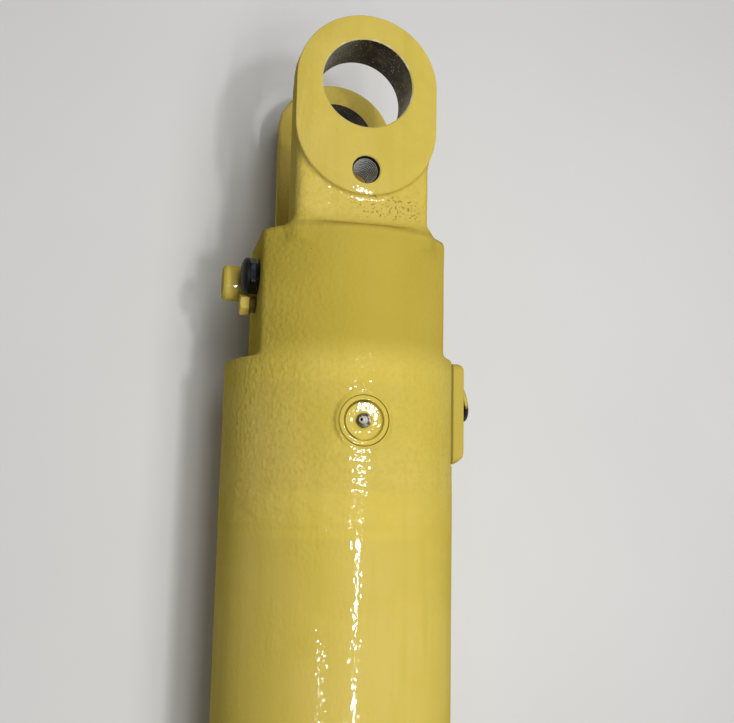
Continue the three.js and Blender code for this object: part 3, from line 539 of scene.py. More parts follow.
        # painted shade: a dark crescent in the corner of the recess, on one side
        dx, dy = math_(t, "ADD", x, -0.001 * (SH[0] + RING_X)), math_(t, "ADD", y, -row_y(BLEED_Y))
        r = math_(t, "SQRT", math_(t, "ADD", math_(t, "MULTIPLY", dx, dx), math_(t, "MULTIPLY", dy, dy)))
        turn = math_(t, "DIVIDE", math_(t, "ADD", math_(t, "MULTIPLY", dx, -0.93), math_(t, "MULTIPLY", dy, 0.36)), r)
        crescent = math_(t, "MULTIPLY", band(t, r, 0.0149, 0.0166, 0.0005), ramp(t, turn, -0.35, 0.25))
        c = mix(t, math_(t, "MULTIPLY", crescent, 0.88), c, (0.150, 0.105, 0.018))
    # painted shade: the whole pad is painted darker, with a dark line along its seat against the barrel
    if seam_shade:
        c = mix(t, 0.62, c, (0.415, 0.320, 0.050))
        c = mix(t, ramp(t, x, seam_shade, seam_shade + 0.0012, 0.66, 0.0), c, (0.085, 0.062, 0.018))
    c = mix(t, math_(t, "MULTIPLY", specks, 0.5), c, (0.20, 0.15, 0.04))
    t.links.new(c, b.inputs["Base Color"])
    wire(t, b.inputs["Roughness"], ramp(t, noise(t, co, 40.0, 3.0), 0.3, 0.7, 0.40 + dull, 0.52 + dull))
    b.inputs["Specular IOR Level"].default_value = 0.0
    # the coat's gloss dies away at the edges of the round, where it would only mirror the floor
    shine = ramp(t, facing(t), 0.09, 0.42, gloss, 0.03)
    if cast:
        shine = math_(t, "MULTIPLY", shine, math_(t, "SUBTRACT", 1.0, math_(t, "MULTIPLY", band(t, y, row_y(-261), row_y(-128), 0.006), 0.95)))
        shine = math_(t, "MULTIPLY", shine, math_(t, "SUBTRACT", 1.0, math_(t, "MULTIPLY", band(t, y, row_y(-388), row_y(-355), 0.005), 0.84)))
    wire(t, b.inputs["Coat Weight"], shine)
    b.inputs["Coat Roughness"].default_value = 0.060 + 0.5 * dull
    b.inputs["Coat IOR"].default_value = 1.8
    bump(t, b, h, 1.0, 1.0)
    return m


def metal(name, base, dark, rough=(0.25, 0.45), grain=300.0, depth=0.02, metallic=1.0, stretch=None, rust=0.0, nicks=0.0):
    m, t, b, co = material(name)
    c = mix(t, ramp(t, noise(t, co, 45.0, 4.0, 0.6), 0.36, 0.66), base, dark)
    n = noise(t, co, grain, 3.0, 0.6, stretch)
    c = mix(t, ramp(t, n, 0.4, 0.7, 0.0, 0.35), c, tuple(v * 0.55 for v in dark))
    if rust:
        c = mix(t, ramp(t, noise(t, co, 110.0, 4.0, 0.65), 0.50, 0.66, 0.0, rust), c, (0.17, 0.075, 0.028))
    if nicks:
        c = mix(t, ramp(t, noise(t, co, 480.0, 2.0, 0.6), 0.605, 0.67, 0.0, nicks), c, (0.60, 0.58, 0.53))
    t.links.new(c, b.inputs["Base Color"])
    b.inputs["Metallic"].default_value = metallic
    wire(t, b.inputs["Roughness"], ramp(t, n, 0.3, 0.7, *rough))
    bump(t, b, n, depth, 0.8)
    return m


def soft(name, base, light, rough=(0.5, 0.65), grain=380.0, depth=0.03, gloss=0.35):
    m, t, b, co = material(name)
    b.inputs["Specular IOR Level"].default_value = gloss
    n = noise(t, co, grain, 3.0)
    c = mix(t, ramp(t, noise(t, co, 55.0, 3.0), 0.35, 0.7), base, light)
    c = mix(t, ramp(t, n, 0.62, 0.76, 0.0, 0.3), c, tuple(min(1, v * 1.9 + 0.015) for v in light))
    t.links.new(c, b.inputs["Base Color"])
    wire(t, b.inputs["Roughness"], ramp(t, n, 0.3, 0.7, *rough))
    bump(t, b, n, depth, 0.7)
    return m


def oversprayed(name, under, cut, soft_edge, turn=0.5):
    """Black moulding with paint mist on the side that faced the gun."""
    m, t, b, co = material(name)
    x, y, z = axes(t, co)
    n = noise(t, co, 300.0, 3.0)
    edge = math_(t, "ADD", math_(t, "ADD", z, math_(t, "MULTIPLY", y, turn)), math_(t, "MULTIPLY", math_(t, "SUBTRACT", noise(t, co, 130.0, 4.0, 0.6), 0.5), 0.016))
    c = mix(t, ramp(t, edge, cut, cut + soft_edge), under, (0.50, 0.38, 0.06))
    c = mix(t, ramp(t, n, 0.60, 0.72, 0.0, 0.25), c, (0.30, 0.23, 0.05))
    t.links.new(c, b.inputs["Base Color"])
    wire(t, b.inputs["Roughness"], ramp(t, n, 0.3, 0.7, 0.38, 0.55))
    bump(t, b, n, 0.03, 0.7)
    return m


PAINT = paint("paint_yellow")
PAINT_PLAIN = paint("paint_yellow_plain", cast=False)
PAINT_RING = paint("paint_yellow_ring", cast=False, gain=0.50, gloss=0.40, recess_painted_shade=True)
PAINT_PAD = paint("paint_yellow_pad", cast=False, seam_shade=0.0907, gloss=0.40)
CHROME = metal("chrome_plate", (0.80, 0.81, 0.82), (0.72, 0.73, 0.75), (0.04, 0.10), 240.0, 0.004, stretch=(1.0, 6.0, 1.0))
STEEL = metal("steel_machined", (0.56, 0.55, 0.53), (0.40, 0.39, 0.37), (0.22, 0.42), 420.0, 0.02)
# painted highlight: a pale rim on the chamfers round the pin bore
RIM_HIGHLIGHT, _t, _b, _co = material("paint_rim_painted_highlight")
_t.links.new(mix(_t, ramp(_t, noise(_t, _co, 70.0, 3.0), 0.50, 0.68), (0.66, 0.53, 0.15), (0.80, 0.73, 0.46)), _b.inputs["Base Color"])
_b.inputs["Roughness"].default_value = 0.3
BORE = metal("bore_bare", (0.125, 0.120, 0.100), (0.050, 0.047, 0.038), (0.30, 0.58), 480.0, 0.20, 0.70, rust=0.30, nicks=0.85)
THREAD = metal("thread_bright", (0.92, 0.92, 0.91), (0.78, 0.77, 0.76), (0.20, 0.34), 600.0, 0.01, 0.25)
NIPPLE = metal("nipple_bright", (0.90, 0.89, 0.86), (0.66, 0.64, 0.60), (0.18, 0.32), 500.0, 0.02, 0.30)
HEXAGON = metal("nipple_hexagon", (0.270, 0.220, 0.105), (0.110, 0.086, 0.038), (0.28, 0.45), 420.0, 0.05, 0.40)
DARK = metal("oil_space", (0.10, 0.10, 0.10), (0.05, 0.05, 0.05), (0.35, 0.6), 200.0, 0.03)
OXIDE = metal("steel_black_oxide", (0.060, 0.061, 0.066), (0.030, 0.030, 0.034), (0.30, 0.5), 350.0, 0.03, 0.85)
# zinc plated steel whose blue tint is a painted reflection
ZINC = metal("zinc_painted_blue_reflection", (0.095, 0.115, 0.150), (0.036, 0.042, 0.056), (0.24, 0.42), 300.0, 0.02)
SPACER = metal("spacer_worn", (0.30, 0.215, 0.042), (0.150, 0.100, 0.026), (0.4, 0.62), 260.0, 0.08, 0.20, rust=0.4)
BRONZE = metal("bronze", (0.55, 0.36, 0.16), (0.40, 0.25, 0.10), (0.25, 0.42), 300.0, 0.02)
RUBBER = soft("rubber_black", (0.016, 0.016, 0.017), (0.028, 0.028, 0.028), (0.55, 0.75))
CAP = soft("cap_black", (0.008, 0.0085, 0.008), (0.016, 0.017, 0.015), (0.40, 0.55), 420.0, 0.05, 0.12)
POLYMER = soft("seal_polymer", (0.05, 0.15, 0.07), (0.08, 0.20, 0.10), (0.45, 0.6))
NYLON = soft("nylon_black", (0.014, 0.014, 0.015), (0.026, 0.026, 0.027), (0.40, 0.55))
PLUG = oversprayed("plug_oversprayed", (0.013, 0.013, 0.013), row_y(-265) * 0.9 + 0.105 + 0.011, 0.006, 0.9)

MAT_OF_SLOT = {
    "yellow_paint": PAINT_PLAIN,
    "rod_chrome": CHROME,
    "machined_steel": STEEL,
    "black_oxide_steel": OXIDE,
    "zinc_steel": ZINC,
    "bronze": BRONZE,
    "black_rubber": RUBBER,
    "black_plastic": NYLON,
    "seal_polymer": POLYMER,
}
for sp in frame["record"]["subparts"]:
    ob = frame["nodes"][sp["node"]]
    ob.data.materials.clear()
    ob.data.materials.append(MAT_OF_SLOT[sp["material_slot"]])

# ------------------------------------------------------------------ camera
C = np.array([-181.5447596874775, -365.2341055801736, 867.0139113980822])
RM = np.array(
    [
        [0.9714831703594328, 0.019820086877405198, 0.23627867839599379],
        [-0.05445429309709899, 0.9885146744306448, 0.14097328966357967],
        [-0.23077083800099304, -0.14981956678434366, 0.9614046586827375],
    ]
)
cam = bpy.data.objects.new("camera", bpy.data.cameras.new("camera"))
scene.collection.objects.link(cam)
world_from_cam = Matrix([[*RM.T[i], (C[i] + SH[i]) * 0.001] for i in range(3)] + [[0, 0, 0, 1]])
cam.matrix_world = world_from_cam
cam.data.sensor_width = 36.0
cam.data.lens = 965.2438170290797 * 36.0 / 734.0
cam.data.clip_start, cam.data.clip_end = 0.02, 60.0
scene.camera = cam

# ------------------------------------------------------------------ fork forging
me = mesh_of("forging", *iso(forging, (-109, -371, -108), (109, 66, 103), 1.4))
big = 400.0
me = carve(
    me,
    extrude([(-big, -117), (big, -117), (big, big), (-big, big)], EAR_Z, 150, "z"),
    extrude([(-big, -big), (big, -big), (big, big), (-big, big)], -420, WELD_Y, "y"),
    lathe([(0, -130), (PIN_R, -130), (PIN_R, 130), (0, 130)], 160, "z"),
    lathe([(0, EAR_Z - 1.6), (PIN_R - 0.4, EAR_Z - 1.6), (PIN_R + 1.6, EAR_Z + 0.4), (PIN_R + 1.6, EAR_Z + 5), (0, EAR_Z + 5)], 160, "z"),
    lathe([(0, -ARM_Z - 5), (PIN_R + 2.4, -ARM_Z - 5), (PIN_R + 2.4, -ARM_Z - 0.4), (PIN_R - 0.4, -ARM_Z + 2.4), (0, -ARM_Z + 2.4)], 160, "z"),
    lathe([(0, 20), (12.3, 20), (12.3, EAR_Z - 0.9), (13.4, EAR_Z + 0.2), (13.4, 120), (0, 120)], 96, "z", (0, LOCK_Y, 0)),
    lathe([(0, -380), (86.3, -380), (86.3, -352), (80, -352), (80, -258), (72, -250), (0, -250)], 160, "y"),
    lathe([(0, 60), (16, 60), (16, 130), (0, 130)], 96, "x", (0, PORT_Y, 0)),
    lathe([(0, 70), (6.1, 70), (6.1, 100.2), (21.25, 100.2), (21.25, 130), (0, 130)], 128, "z", (0, BLEED_Y, 0)),
    lathe([(0, -120), (9.3, -120), (9.3, -60), (0, -60)], 48, "x", (0, SIDE_Y, 34)),
    lathe([(0, -120), (9.3, -120), (9.3, -60), (0, -60)], 48, "x", (0, SIDE_Y, 0)),
    lathe([(0, -120), (4.4, -120), (4.4, -62), (0, -62)], 32, "x", (0, -188, 21)),
)


def forging_faces(c, n):
    idx = np.zeros(len(c), int)
    r = np.hypot(c[:, 0], c[:, 1])
    bore = (r < PIN_R + 0.15) & (np.abs(c[:, 2]) < 94) & (np.abs(n[:, 2]) < 0.35)
    lock = (np.hypot(c[:, 0], c[:, 1] - LOCK_Y) < 12.6) & (c[:, 2] < 94.3) & (c[:, 2] > 19)
    inside = (np.hypot(c[:, 0], c[:, 2]) < 86.6) & (c[:, 1] < -249.5)
    idx[bore] = 1
    idx[lock] = 2
    idx[inside] = 3
    # the bore chamfers take the painted highlight
    rim_highlight = (r < PIN_R + 1.7) & (c[:, 2] > 93) & (np.abs(n[:, 2]) < 0.9) & (np.abs(n[:, 2]) > 0.4)
    idx[rim_highlight] = 4
    return idx


piece("fork_forging", me, "barrel", [PAINT, BORE, THREAD, DARK, RIM_HIGHLIGHT], "clevis_base", 40, forging_faces)

# internal thread of the pin-lock hole: one helical ridge inside a thin shell
pitch, z0, z1, na, nz = 4.2, 48.6, 93.6, 96, 300
th = 2 * np.pi * np.arange(na) / na
zz = np.linspace(z0, z1, nz)
saw = (zz[:, None] / pitch - th[None, :] / (2 * np.pi)) % 1.0
tooth = np.clip(np.abs(saw - 0.5) * 3.4 - 0.90, 0, 1)
fade = np.minimum(1, (z1 - zz) / 3.0)[:, None]
ri = 12.05 - 1.55 * (1 - tooth) * fade
inner = np.stack([ri * np.cos(th), LOCK_Y + ri * np.sin(th), np.broadcast_to(zz[:, None], ri.shape)], -1).reshape(-1, 3)
ro = 12.29
outer = np.stack([ro * np.cos(th) + 0 * zz[:, None], LOCK_Y + ro * np.sin(th) + 0 * zz[:, None], zz[:, None] + 0 * th], -1).reshape(-1, 3)
i, j = np.meshgrid(np.arange(nz - 1), np.arange(na), indexing="ij")
a, b2 = (i * na + j).ravel(), (i * na + (j + 1) % na).ravel()
c2, d2 = b2 + na, a + na
k = nz * na
ends = []
for row in (0, nz - 1):
    p, q = row * na + np.arange(na), row * na + (np.arange(na) + 1) % na
    ends.append(np.stack([p, q, q + k, p + k], 1) if row == 0 else np.stack([q, p, p + k, q + k], 1))
thread = mesh_of(
    "thread",
    np.concatenate([inner, outer]),
    [np.concatenate([np.stack([b2, a, d2, c2], 1), np.stack([a + k, b2 + k, c2 + k, d2 + k], 1), *ends])],
)
# painted highlight and painted shade: the crests are bright steel, the flanks and roots black oxide
piece("pin_lock_thread", thread, "barrel", [THREAD, OXIDE], sharp=60, choose=lambda c, n: (np.hypot(c[:, 0], c[:, 1] - LOCK_Y) > 10.72).astype(int))

# ------------------------------------------------------------------ barrel tube
N = 256
wall = [(BORE_R, WELD_Y + 9), (BORE_R + 6, WELD_Y + 9), (BORE_R + 6, WELD_Y)]
wall += [(BARREL_R, WELD_Y - y) for y in (0, 6, 12, 18, 26, 60, 140, 220, 300, 380, 440, 480, 505)]
wall += soften([(BARREL_R, TUBE_END_Y + 6, 0), (BARREL_R, TUBE_END_Y, 1.2), (BORE_R, TUBE_END_Y, 1.5), (BORE_R, TUBE_END_Y + 12, 0)], 1.2, 3)
me = mesh_of("tube", *lathe(wall, N, "y"))
holes = []
for q in range(BOLTS):
    an = 2 * math.pi * (q + 0.5) / BOLTS
    holes.append(lathe([(0, 0), (7.4, 0), (7.4, 40), (0, 40)], 32, "y", (BOLT_PCR * math.cos(an), TUBE_END_Y - 5, BOLT_PCR * math.sin(an))))
bx = [(ROD_PORT_Y - 33, -60), (ROD_PORT_Y + 61, -60), (ROD_PORT_Y + 61, 60), (ROD_PORT_Y - 33, 60)]
me = carve(me, extrude(bx, PAD_SEAT, 130, "x"), lathe([(0, 60), (16, 60), (16, 130), (0, 130)], 96, "x", (0, ROD_PORT_Y, 0)), join_meshes(holes))
piece("tube_skin", me, "barrel", [PAINT, DARK], "barrel_tube", 35, lambda c, n: (np.hypot(c[:, 0], c[:, 2]) < BORE_R + 0.3).astype(int))

# ------------------------------------------------------------------ port pads and plugs
pad_co, pad_faces = iso(port_pad, (-1.5, -63, -42), (16, 35, 42), 0.7)
up_co = pad_co + [PAD_SEAT, PORT_Y, 0]
piece("port_pad_cap_end", mesh_of("pad", up_co, pad_faces), "barrel", PAINT_PAD, "cap_end_port_pad", 40)
dn_co = pad_co * [1, -1, -1] + [PAD_SEAT, ROD_PORT_Y, 0]
piece("port_pad_rod_end", mesh_of("pad", dn_co, pad_faces), "barrel", PAINT_PAD, "rod_end_port_pad", 40)


def plug(stem):
    """Flange seat at t = 0, domed cap outwards, ribbed hollow stem inwards."""
    ribs = []
    for q in range(4):
        t = -3.2 - 3.1 * q
        ribs += [(stem - 0.7, t + 0.9), (stem, t), (stem - 0.7, t - 0.9)]
    prof = [(0, -1.5)] + soften([(0, -1.5), (stem - 2.6, -1.5), (stem - 2.6, -16), (stem - 0.7, -16), (stem - 0.7, -14.2)], 0.4)[1:]
    prof += ribs[::-1]
    prof += soften([(stem - 0.7, -1.2, 0), (stem - 0.7, 0), (19.5, 0, 0.5), (19.5, 2.3, 1.0), (18.1, 3.9, 1.6), (15.4, 4.3, 1.0), (14.6, 3.5, 0.6), (11.2, 3.7, 0.8), (9.8, 4.9, 1.5), (4.0, 5.35, 2.0), (0, 5.35)], 0.6, 4)
    return prof


co, gr = lathe(plug(15.4), 96, "x")
piece("plug_rod_end", mesh_of("plug", co + [PAD_FACE + 0.2, ROD_PORT_Y, 0], gr), "barrel", NYLON, "rod_end_port_plug", 40)
co, gr = lathe(plug(12.4), 96, "x")
an = math.radians(13)
rot = np.array([[math.cos(an), -math.sin(an), 0], [math.sin(an), math.cos(an), 0], [0, 0, 1]])
piece("plug_cap_end", mesh_of("plug", co @ rot.T + [PAD_FACE + 6.5, PORT_Y + 0.5, 0], gr), "barrel", PLUG, "cap_end_port_plug", 40)

# ------------------------------------------------------------------ bleed screw in its guard ring
guard = [(6.1, 0), (20.7, 0, 0.3), (20.7, 5.7, 0.7), (20.1, 6.5, 0.6), (17.3, 6.7, 0.5), (16.6, 6.2, 0.5), (16.1, 3.9, 0.6), (15.0, 3.12, 0.9), (9.6, 2.96, 0.6), (6.1, 2.90, 0.1)]
co, gr = lathe(soften(guard, 0.5, 5, True), 128, "z", (0, BLEED_Y, 100.3), lambda th: 1 + RING_X / 20.7 * np.cos(th))
piece("guard_ring", mesh_of("guard", co, gr), "barrel", PAINT_RING, "bleed_guard_ring", 40)
shank = lathe(soften([(0, -14, 0), (3.4, -14, 0), (5.8, -9, 0.3), (5.8, 3.4, 0.2), (0, 3.4, 0)], 0.3), 48, "z")
hexa = mesh_of("hexa", *join_meshes([extrude(hexagon(10.5, 0.3), 3.2, 8.2, "z")]))
hexa = carve(hexa, lathe([(0, 3.0), (6.2, 3.0), (6.2, 7.2), (4.9, 8.3), (0, 8.3)], 64, "z"), op="INTERSECT")
hexa = carve(hexa, lathe(soften([(0, -14, 0), (3.4, -14, 0), (5.8, -9, 0.3), (5.8, 3.6, 0.2), (0, 3.6, 0)], 0.3), 48, "z"), op="UNION")
LEAN = math.radians(42)


def leaning(q):
    """The head stands at an angle on the hexagon, towards -x."""
    co, groups = q
    x, z = co[:, 0].copy(), co[:, 2] - 7.2
    out = co.copy()
    out[:, 0] = x * math.cos(LEAN) - z * math.sin(LEAN)
    out[:, 2] = 7.2 + x * math.sin(LEAN) + z * math.cos(LEAN)
    return out, groups


hexa = carve(hexa, leaning(lathe(soften([(0, 6.4, 0), (3.5, 6.4, 0), (3.4, 8.4, 0.3), (2.4, 9.9, 0.6), (3.15, 11.5, 0.7), (2.3, 13.4, 0.5), (0, 13.4, 0)], 0.3, 4), 48, "z")), op="UNION")
hexa = carve(hexa, leaning(lathe([(0, 6.0), (1.2, 6.0), (1.2, 12.9), (1.7, 13.5), (1.7, 20), (0, 20)], 32, "z")))


def nipple_faces(c, n):
    v = c - [0, BLEED_Y, 107.5]
    d = np.array([-math.sin(LEAN), 0, math.cos(LEAN)])
    along = v @ d
    off = np.sqrt(np.maximum((v * v).sum(1) - along**2, 0))
    head = (along > 1.2) & (off < 3.7)
    idx = np.where((off < 1.3) & (along > -1.5) & (along < 6.1), 1, np.where(head, 0, 2))
    shoulder = (c[:, 2] < 103.78) & (np.hypot(c[:, 0], c[:, 1] - BLEED_Y) > 5.0)
    return np.where(shoulder, 3, idx).astype(int)


hexa.transform(Matrix.Translation((0, BLEED_Y * 0.001, 0.1003)))
piece("bleed_nipple", hexa, "bleed", [NIPPLE, DARK, HEXAGON, PAINT_RING], "bleed_screw", 30, nipple_faces)


# ------------------------------------------------------------------ fittings on the collar's flat, along -x
def on_flat(prof, n, y, z, rad=0.5, seg=4):
    co, gr = lathe(soften(prof, rad, seg), n, "x")
    return co * [-1, 1, 1] + [-FLAT_L - 0.3, y, z], gr


def hex_on_flat(af, a, b, y, z, turn=0.0, cham=0.9):
    r = af / math.sqrt(3)
    co, gr = extrude(hexagon(af, turn), a, b, "x")
    me = mesh_of("hex", co * [-1, 1, 1] + [-FLAT_L - 0.3, y, z], gr)
    return carve(me, on_flat([(0, a - 1, 0), (r + 1, a - 1, 0), (r + 1, b - cham - 0.6, 0), (r - 1.6, b + 0.25, 0), (0, b + 0.25, 0)], 96, y, z, 0), op="INTERSECT")


me = hex_on_flat(28.1, 1.2, 7.6, SIDE_Y, 34, 0.0)
me = carve(me, on_flat([(0, -16, 0), (8.6, -16, 0), (8.6, 0, 0.2), (15.4, 0, 0.3), (15.4, 1.6, 0.3), (0, 1.6, 0)], 96, SIDE_Y, 34), op="UNION")
me = carve(me, on_flat([(0, 7, 0), (9, 7, 0), (9, 11.5, 0.6), (0, 11.5, 0)], 96, SIDE_Y, 34), op="UNION")
piece("fitting_adapter", me, "barrel", ZINC, "side_port_adapter", 30)
me = mesh_of("cap", *on_flat([(0, 11.9, 0), (9.3, 11.9, 0.3), (9.3, 7.9, 0.3), (16.1, 7.9, 0.6), (16.1, 10.2, 1.2), (14.9, 12.2, 1.8), (11.2, 13.9, 2.5), (5.5, 14.6, 2.5), (0, 14.8, 0)], 96, SIDE_Y, 34))
piece("fitting_cap", me, "barrel", CAP, "side_port_cap", 40)
me = mesh_of("boss", *on_flat([(0, -16, 0), (8.6, -16, 0), (8.6, 0, 0.2), (14.4, 0, 0.4), (14.4, 5.6, 1.0), (16.1, 7.0, 1.2), (16.1, 25.2, 1.4), (14.0, 27.5, 0.8), (7.0, 27.5, 0.6), (6.2, 26.9, 0.5), (0, 26.9, 0)], 128, SIDE_Y, 0))
piece("fitting_boss", me, "barrel", PAINT_PLAIN, "side_port_boss", 40)
co, gr = lathe(soften([(4.6, 0), (7.5, 0), (7.5, 2.1), (6.9, 2.7), (7.5, 3.3), (7.5, 5.4), (4.6, 5.4)], 0.5, 3, True), 64, "x")
piece("bolt_spacer", mesh_of("spacer", co * [-1, 1, 1] + [-FLAT_L - 0.3, -188, 21], gr), "barrel", SPACER, "side_spacer", 40)
me = hex_on_flat(17.0, 5.7, 13.6, -188, 21, 0.0, 0.7)
me = carve(me, on_flat([(0, -16, 0), (4, -16, 0.5), (4, 6.2, 0), (0, 6.2, 0)], 48, -188, 21), op="UNION")
piece("bolt_small", bevel(me, 0.35), "barrel", PAINT_PLAIN, "side_bolt", 40)

# ------------------------------------------------------------------ gland and its screws
clear = ROD_R + 0.7
prof = [
    (clear, -790, 1.0), (70, -790, 1.0), (72, -792, 0.8), (72, -830, 1.0), (79.65, -838, 0.8),
    (79.65, -850.7, 0.2), (74.6, -850.7, 0.3), (74.6, -859.4, 0.3), (79.65, -859.4, 0.2), (79.65, -880.1, 0.2),
    (BARREL_R, -880.1, 1.4), (BARREL_R, GLAND_Y, 2.4), (57.3, GLAND_Y, 0.8), (57.3, -918.4, 0), (59.4, -918.4, 0), (59.4, -915.2, 0),
    (57.3, -915.2, 0), (57.3, -904.7, 0), (clear, -904.7, 0.3), (clear, -873.3, 0), (57.6, -873.3, 0), (57.6, -861.7, 0), (clear, -861.7, 0),
    (clear, -853.3, 0), (57.6, -853.3, 0), (57.6, -845.7, 0), (clear, -845.7, 0), (clear, -836.3, 0), (55.6, -836.3, 0), (55.6, -799.7, 0), (clear, -799.7, 0),
]
me = mesh_of("gland", *lathe(soften(prof, 0.6, 4, True), 192, "y"))
holes = []
for q in range(BOLTS):
    an = 2 * math.pi * (q + 0.5) / BOLTS
    holes.append(lathe([(0, 0), (7.4, 0), (7.4, 60), (0, 60)], 32, "y", (BOLT_PCR * math.cos(an), GLAND_Y - 5, BOLT_PCR * math.sin(an))))
me = carve(me, join_meshes(holes))
piece("gland_head", me, "barrel", [PAINT_PLAIN, STEEL], "gland", 35, lambda c, n: ((np.hypot(c[:, 0], c[:, 2]) < 59.6) | (c[:, 1] > -880)).astype(int))

knurl = lambda a: 1.0 - 0.010 * (np.arange(len(a)) % 2)
head = soften([(10.4, 0.0, 0.3), (10.4, -12.4, 1.2), (9.0, -14.0, 0.6), (0, -14.0, 0)], 0.5, 3)
screw = mesh_of("screw", *lathe([(0, 0.0), (10.2, 0.0)] + head[1:], 84, "y", wob=knurl))
screw = carve(screw, extrude(hexagon(12.0), -20, -7, "y"))
shank = mesh_of("shank", *lathe([(0, -0.4), (7, -0.4), (7, 64.6), (5.6, 66), (0, 66)], 48, "y"))
screw = boolean(screw, shank, "UNION")
nv = len(screw.vertices)
base = np.zeros(nv * 3, np.float32)
screw.vertices.foreach_get("co", base)
base = base.reshape(-1, 3).astype(float) * 1000 - SH
for q in range(BOLTS):
    an = 2 * math.pi * (q + 0.5) / BOLTS
    tw = math.radians(37 * q % 60)
    ro = np.array([[math.cos(tw), 0, math.sin(tw)], [0, 1, 0], [-math.sin(tw), 0, math.cos(tw)]])
    co = base @ ro.T + [BOLT_PCR * math.cos(an), GLAND_Y - 0.2, BOLT_PCR * math.sin(an)]
    m2 = screw.copy()
    m2.vertices.foreach_set("co", ((co + SH) * 0.001).astype(np.float32).ravel())
    piece("gland_screw_%02d" % (q + 1), m2, "barrel", OXIDE, "gland_bolt_%02d" % (q + 1), 30)
bpy.data.meshes.remove(screw)

wiper = [(51.4, -905, 0.3), (57, -905, 0.3), (57, -914.6, 0.4), (54.8, -914.8, 0.6), (52.2, -919.6, 0.8), (50.5, -921.4, 0.3), (50.4, -919.0, 0.4), (52.2, -913.0, 1.0)]
piece("wiper_lip", mesh_of("wiper", *lathe(soften(wiper, 0.4, 4, True), 160, "y")), "barrel", RUBBER, "wiper_seal", 45)
ring = [(55.6, -918.1), (59.1, -918.1), (59.1, -915.5), (55.6, -915.5)]
me = mesh_of("clip", *lathe(soften(ring, 0.35, 3, True), 160, "y"))
me = carve(me, extrude([(50, -4), (62, -4), (62, 4), (50, 4)], -925, -910, "y"))
piece("wiper_clip", me, "barrel", STEEL, "wiper_retaining_ring", 35)

# ------------------------------------------------------------------ rod, eye and bearing
rod = [(0, -264, 0), (33, -264, 0.8), (36, -267, 0.8), (36, -435, 0), (47, -435, 0.5), (50, -440, 1.0), (50, -948, 0.5), (47, -951, 0.5), (20, -951, 0), (20, -962, 0.5), (0, -962, 0)]
piece("rod_chromed", mesh_of("rod", *lathe(soften(rod, 0.5, 4), 192, "y")), "rod", CHROME, "piston_rod", 35)

co, gr = iso(rod_eye, (-89, -89, -58), (89, 101, 58), 1.2)
me = mesh_of("eye", co + [0, EYE_Y, 0], gr)
at = (0, EYE_Y, 0)
me = carve(
    me,
    lathe([(0, -60), (60.3, -60), (60.3, 60), (0, 60)], 192, "z", at),
    lathe([(0, 23.1), (63.4, 23.1), (63.4, 26.5), (0, 26.5)], 192, "z", at),
    lathe([(0, -26.5), (63.4, -26.5), (63.4, -23.1), (0, -23.1)], 192, "z", at),
    lathe([(0, 33.8), (59, 33.8), (62.6, 36.5), (62.6, 60), (0, 60)], 192, "z", at),
    lathe([(0, -60), (62.6, -60), (62.6, -36.5), (59, -33.8), (0, -33.8)], 192, "z", at),
    extrude([(-150, -150), (150, -150), (150, 150), (-150, 150)], 98.7, 130, "y", at),
    lathe([(0, 87.7), (20.3, 87.7), (20.3, 110), (0, 110)], 64, "y", at),
    lathe([(0, -90), (4.4, -90), (4.4, -76), (2.5, -76), (2.5, -50), (0, -50)], 32, "y", at),
)


def eye_faces(c, n):
    return (np.hypot(c[:, 0], c[:, 1] - EYE_Y) < 62.0).astype(int)


piece("rod_eye_forging", me, "rod", [PAINT_PLAIN, STEEL], "rod_eye", 40, eye_faces)


def ball(r, za, zb, n=16):
    return [(math.sqrt(r * r - z * z), z) for z in np.linspace(za, zb, n)]


outer = [(60, -22.5)] + [(60, 22.5)] + ball(53.0, 22.5, -22.5)
piece("bearing_outer", mesh_of("outer", *lathe(outer, 192, "z", at)), "rod", STEEL, "bearing_outer_ring", 35)
inner = soften([(40, -26, 0.6), (40, 26, 0.6), (41.5, 27.5, 0.5), (math.sqrt(52.5**2 - 27.5**2) - 1.0, 27.5, 0.5)], 0.5, 3, False)
inner = inner + ball(52.5, 27.2, -27.2, 24)[0:] + [(math.sqrt(52.5**2 - 27.5**2) - 1.0, -27.5), (41.5, -27.5)]
piece("bearing_ball_ring", mesh_of("inner", *lathe(inner, 192, "z", at)), "bearing_ball", CHROME, "bearing_inner_ring", 35)

for nm, za, zb, node in (("circlip_upper", 23.5, 26.1, "bearing_retaining_ring_upper"), ("circlip_lower", -26.1, -23.5, "bearing_retaining_ring_lower")):
    me = mesh_of("ring", *lathe(soften([(56.8, za), (63.0, za), (63.0, zb), (56.8, zb)], 0.3, 2, True), 160, "z", at))
    for s in (-1, 1):
        me = carve(me, lathe(soften([(0, za, 0), (4.4, za), (4.4, zb), (0, zb, 0)], 0.3, 2), 40, "z", (s * 8.6, EYE_Y + 55.2, 0)), op="UNION")
    me = carve(
        me,
        extrude([(-4.6, 48), (4.6, 48), (4.6, 70), (-4.6, 70)], za - 1, zb + 1, "z", at),
        *[lathe([(0, za - 1), (1.5, za - 1), (1.5, zb + 1), (0, zb + 1)], 24, "z", (s * 8.6, EYE_Y + 55.2, 0)) for s in (-1, 1)],
    )
    piece(nm, me, "rod", OXIDE, node, 35)

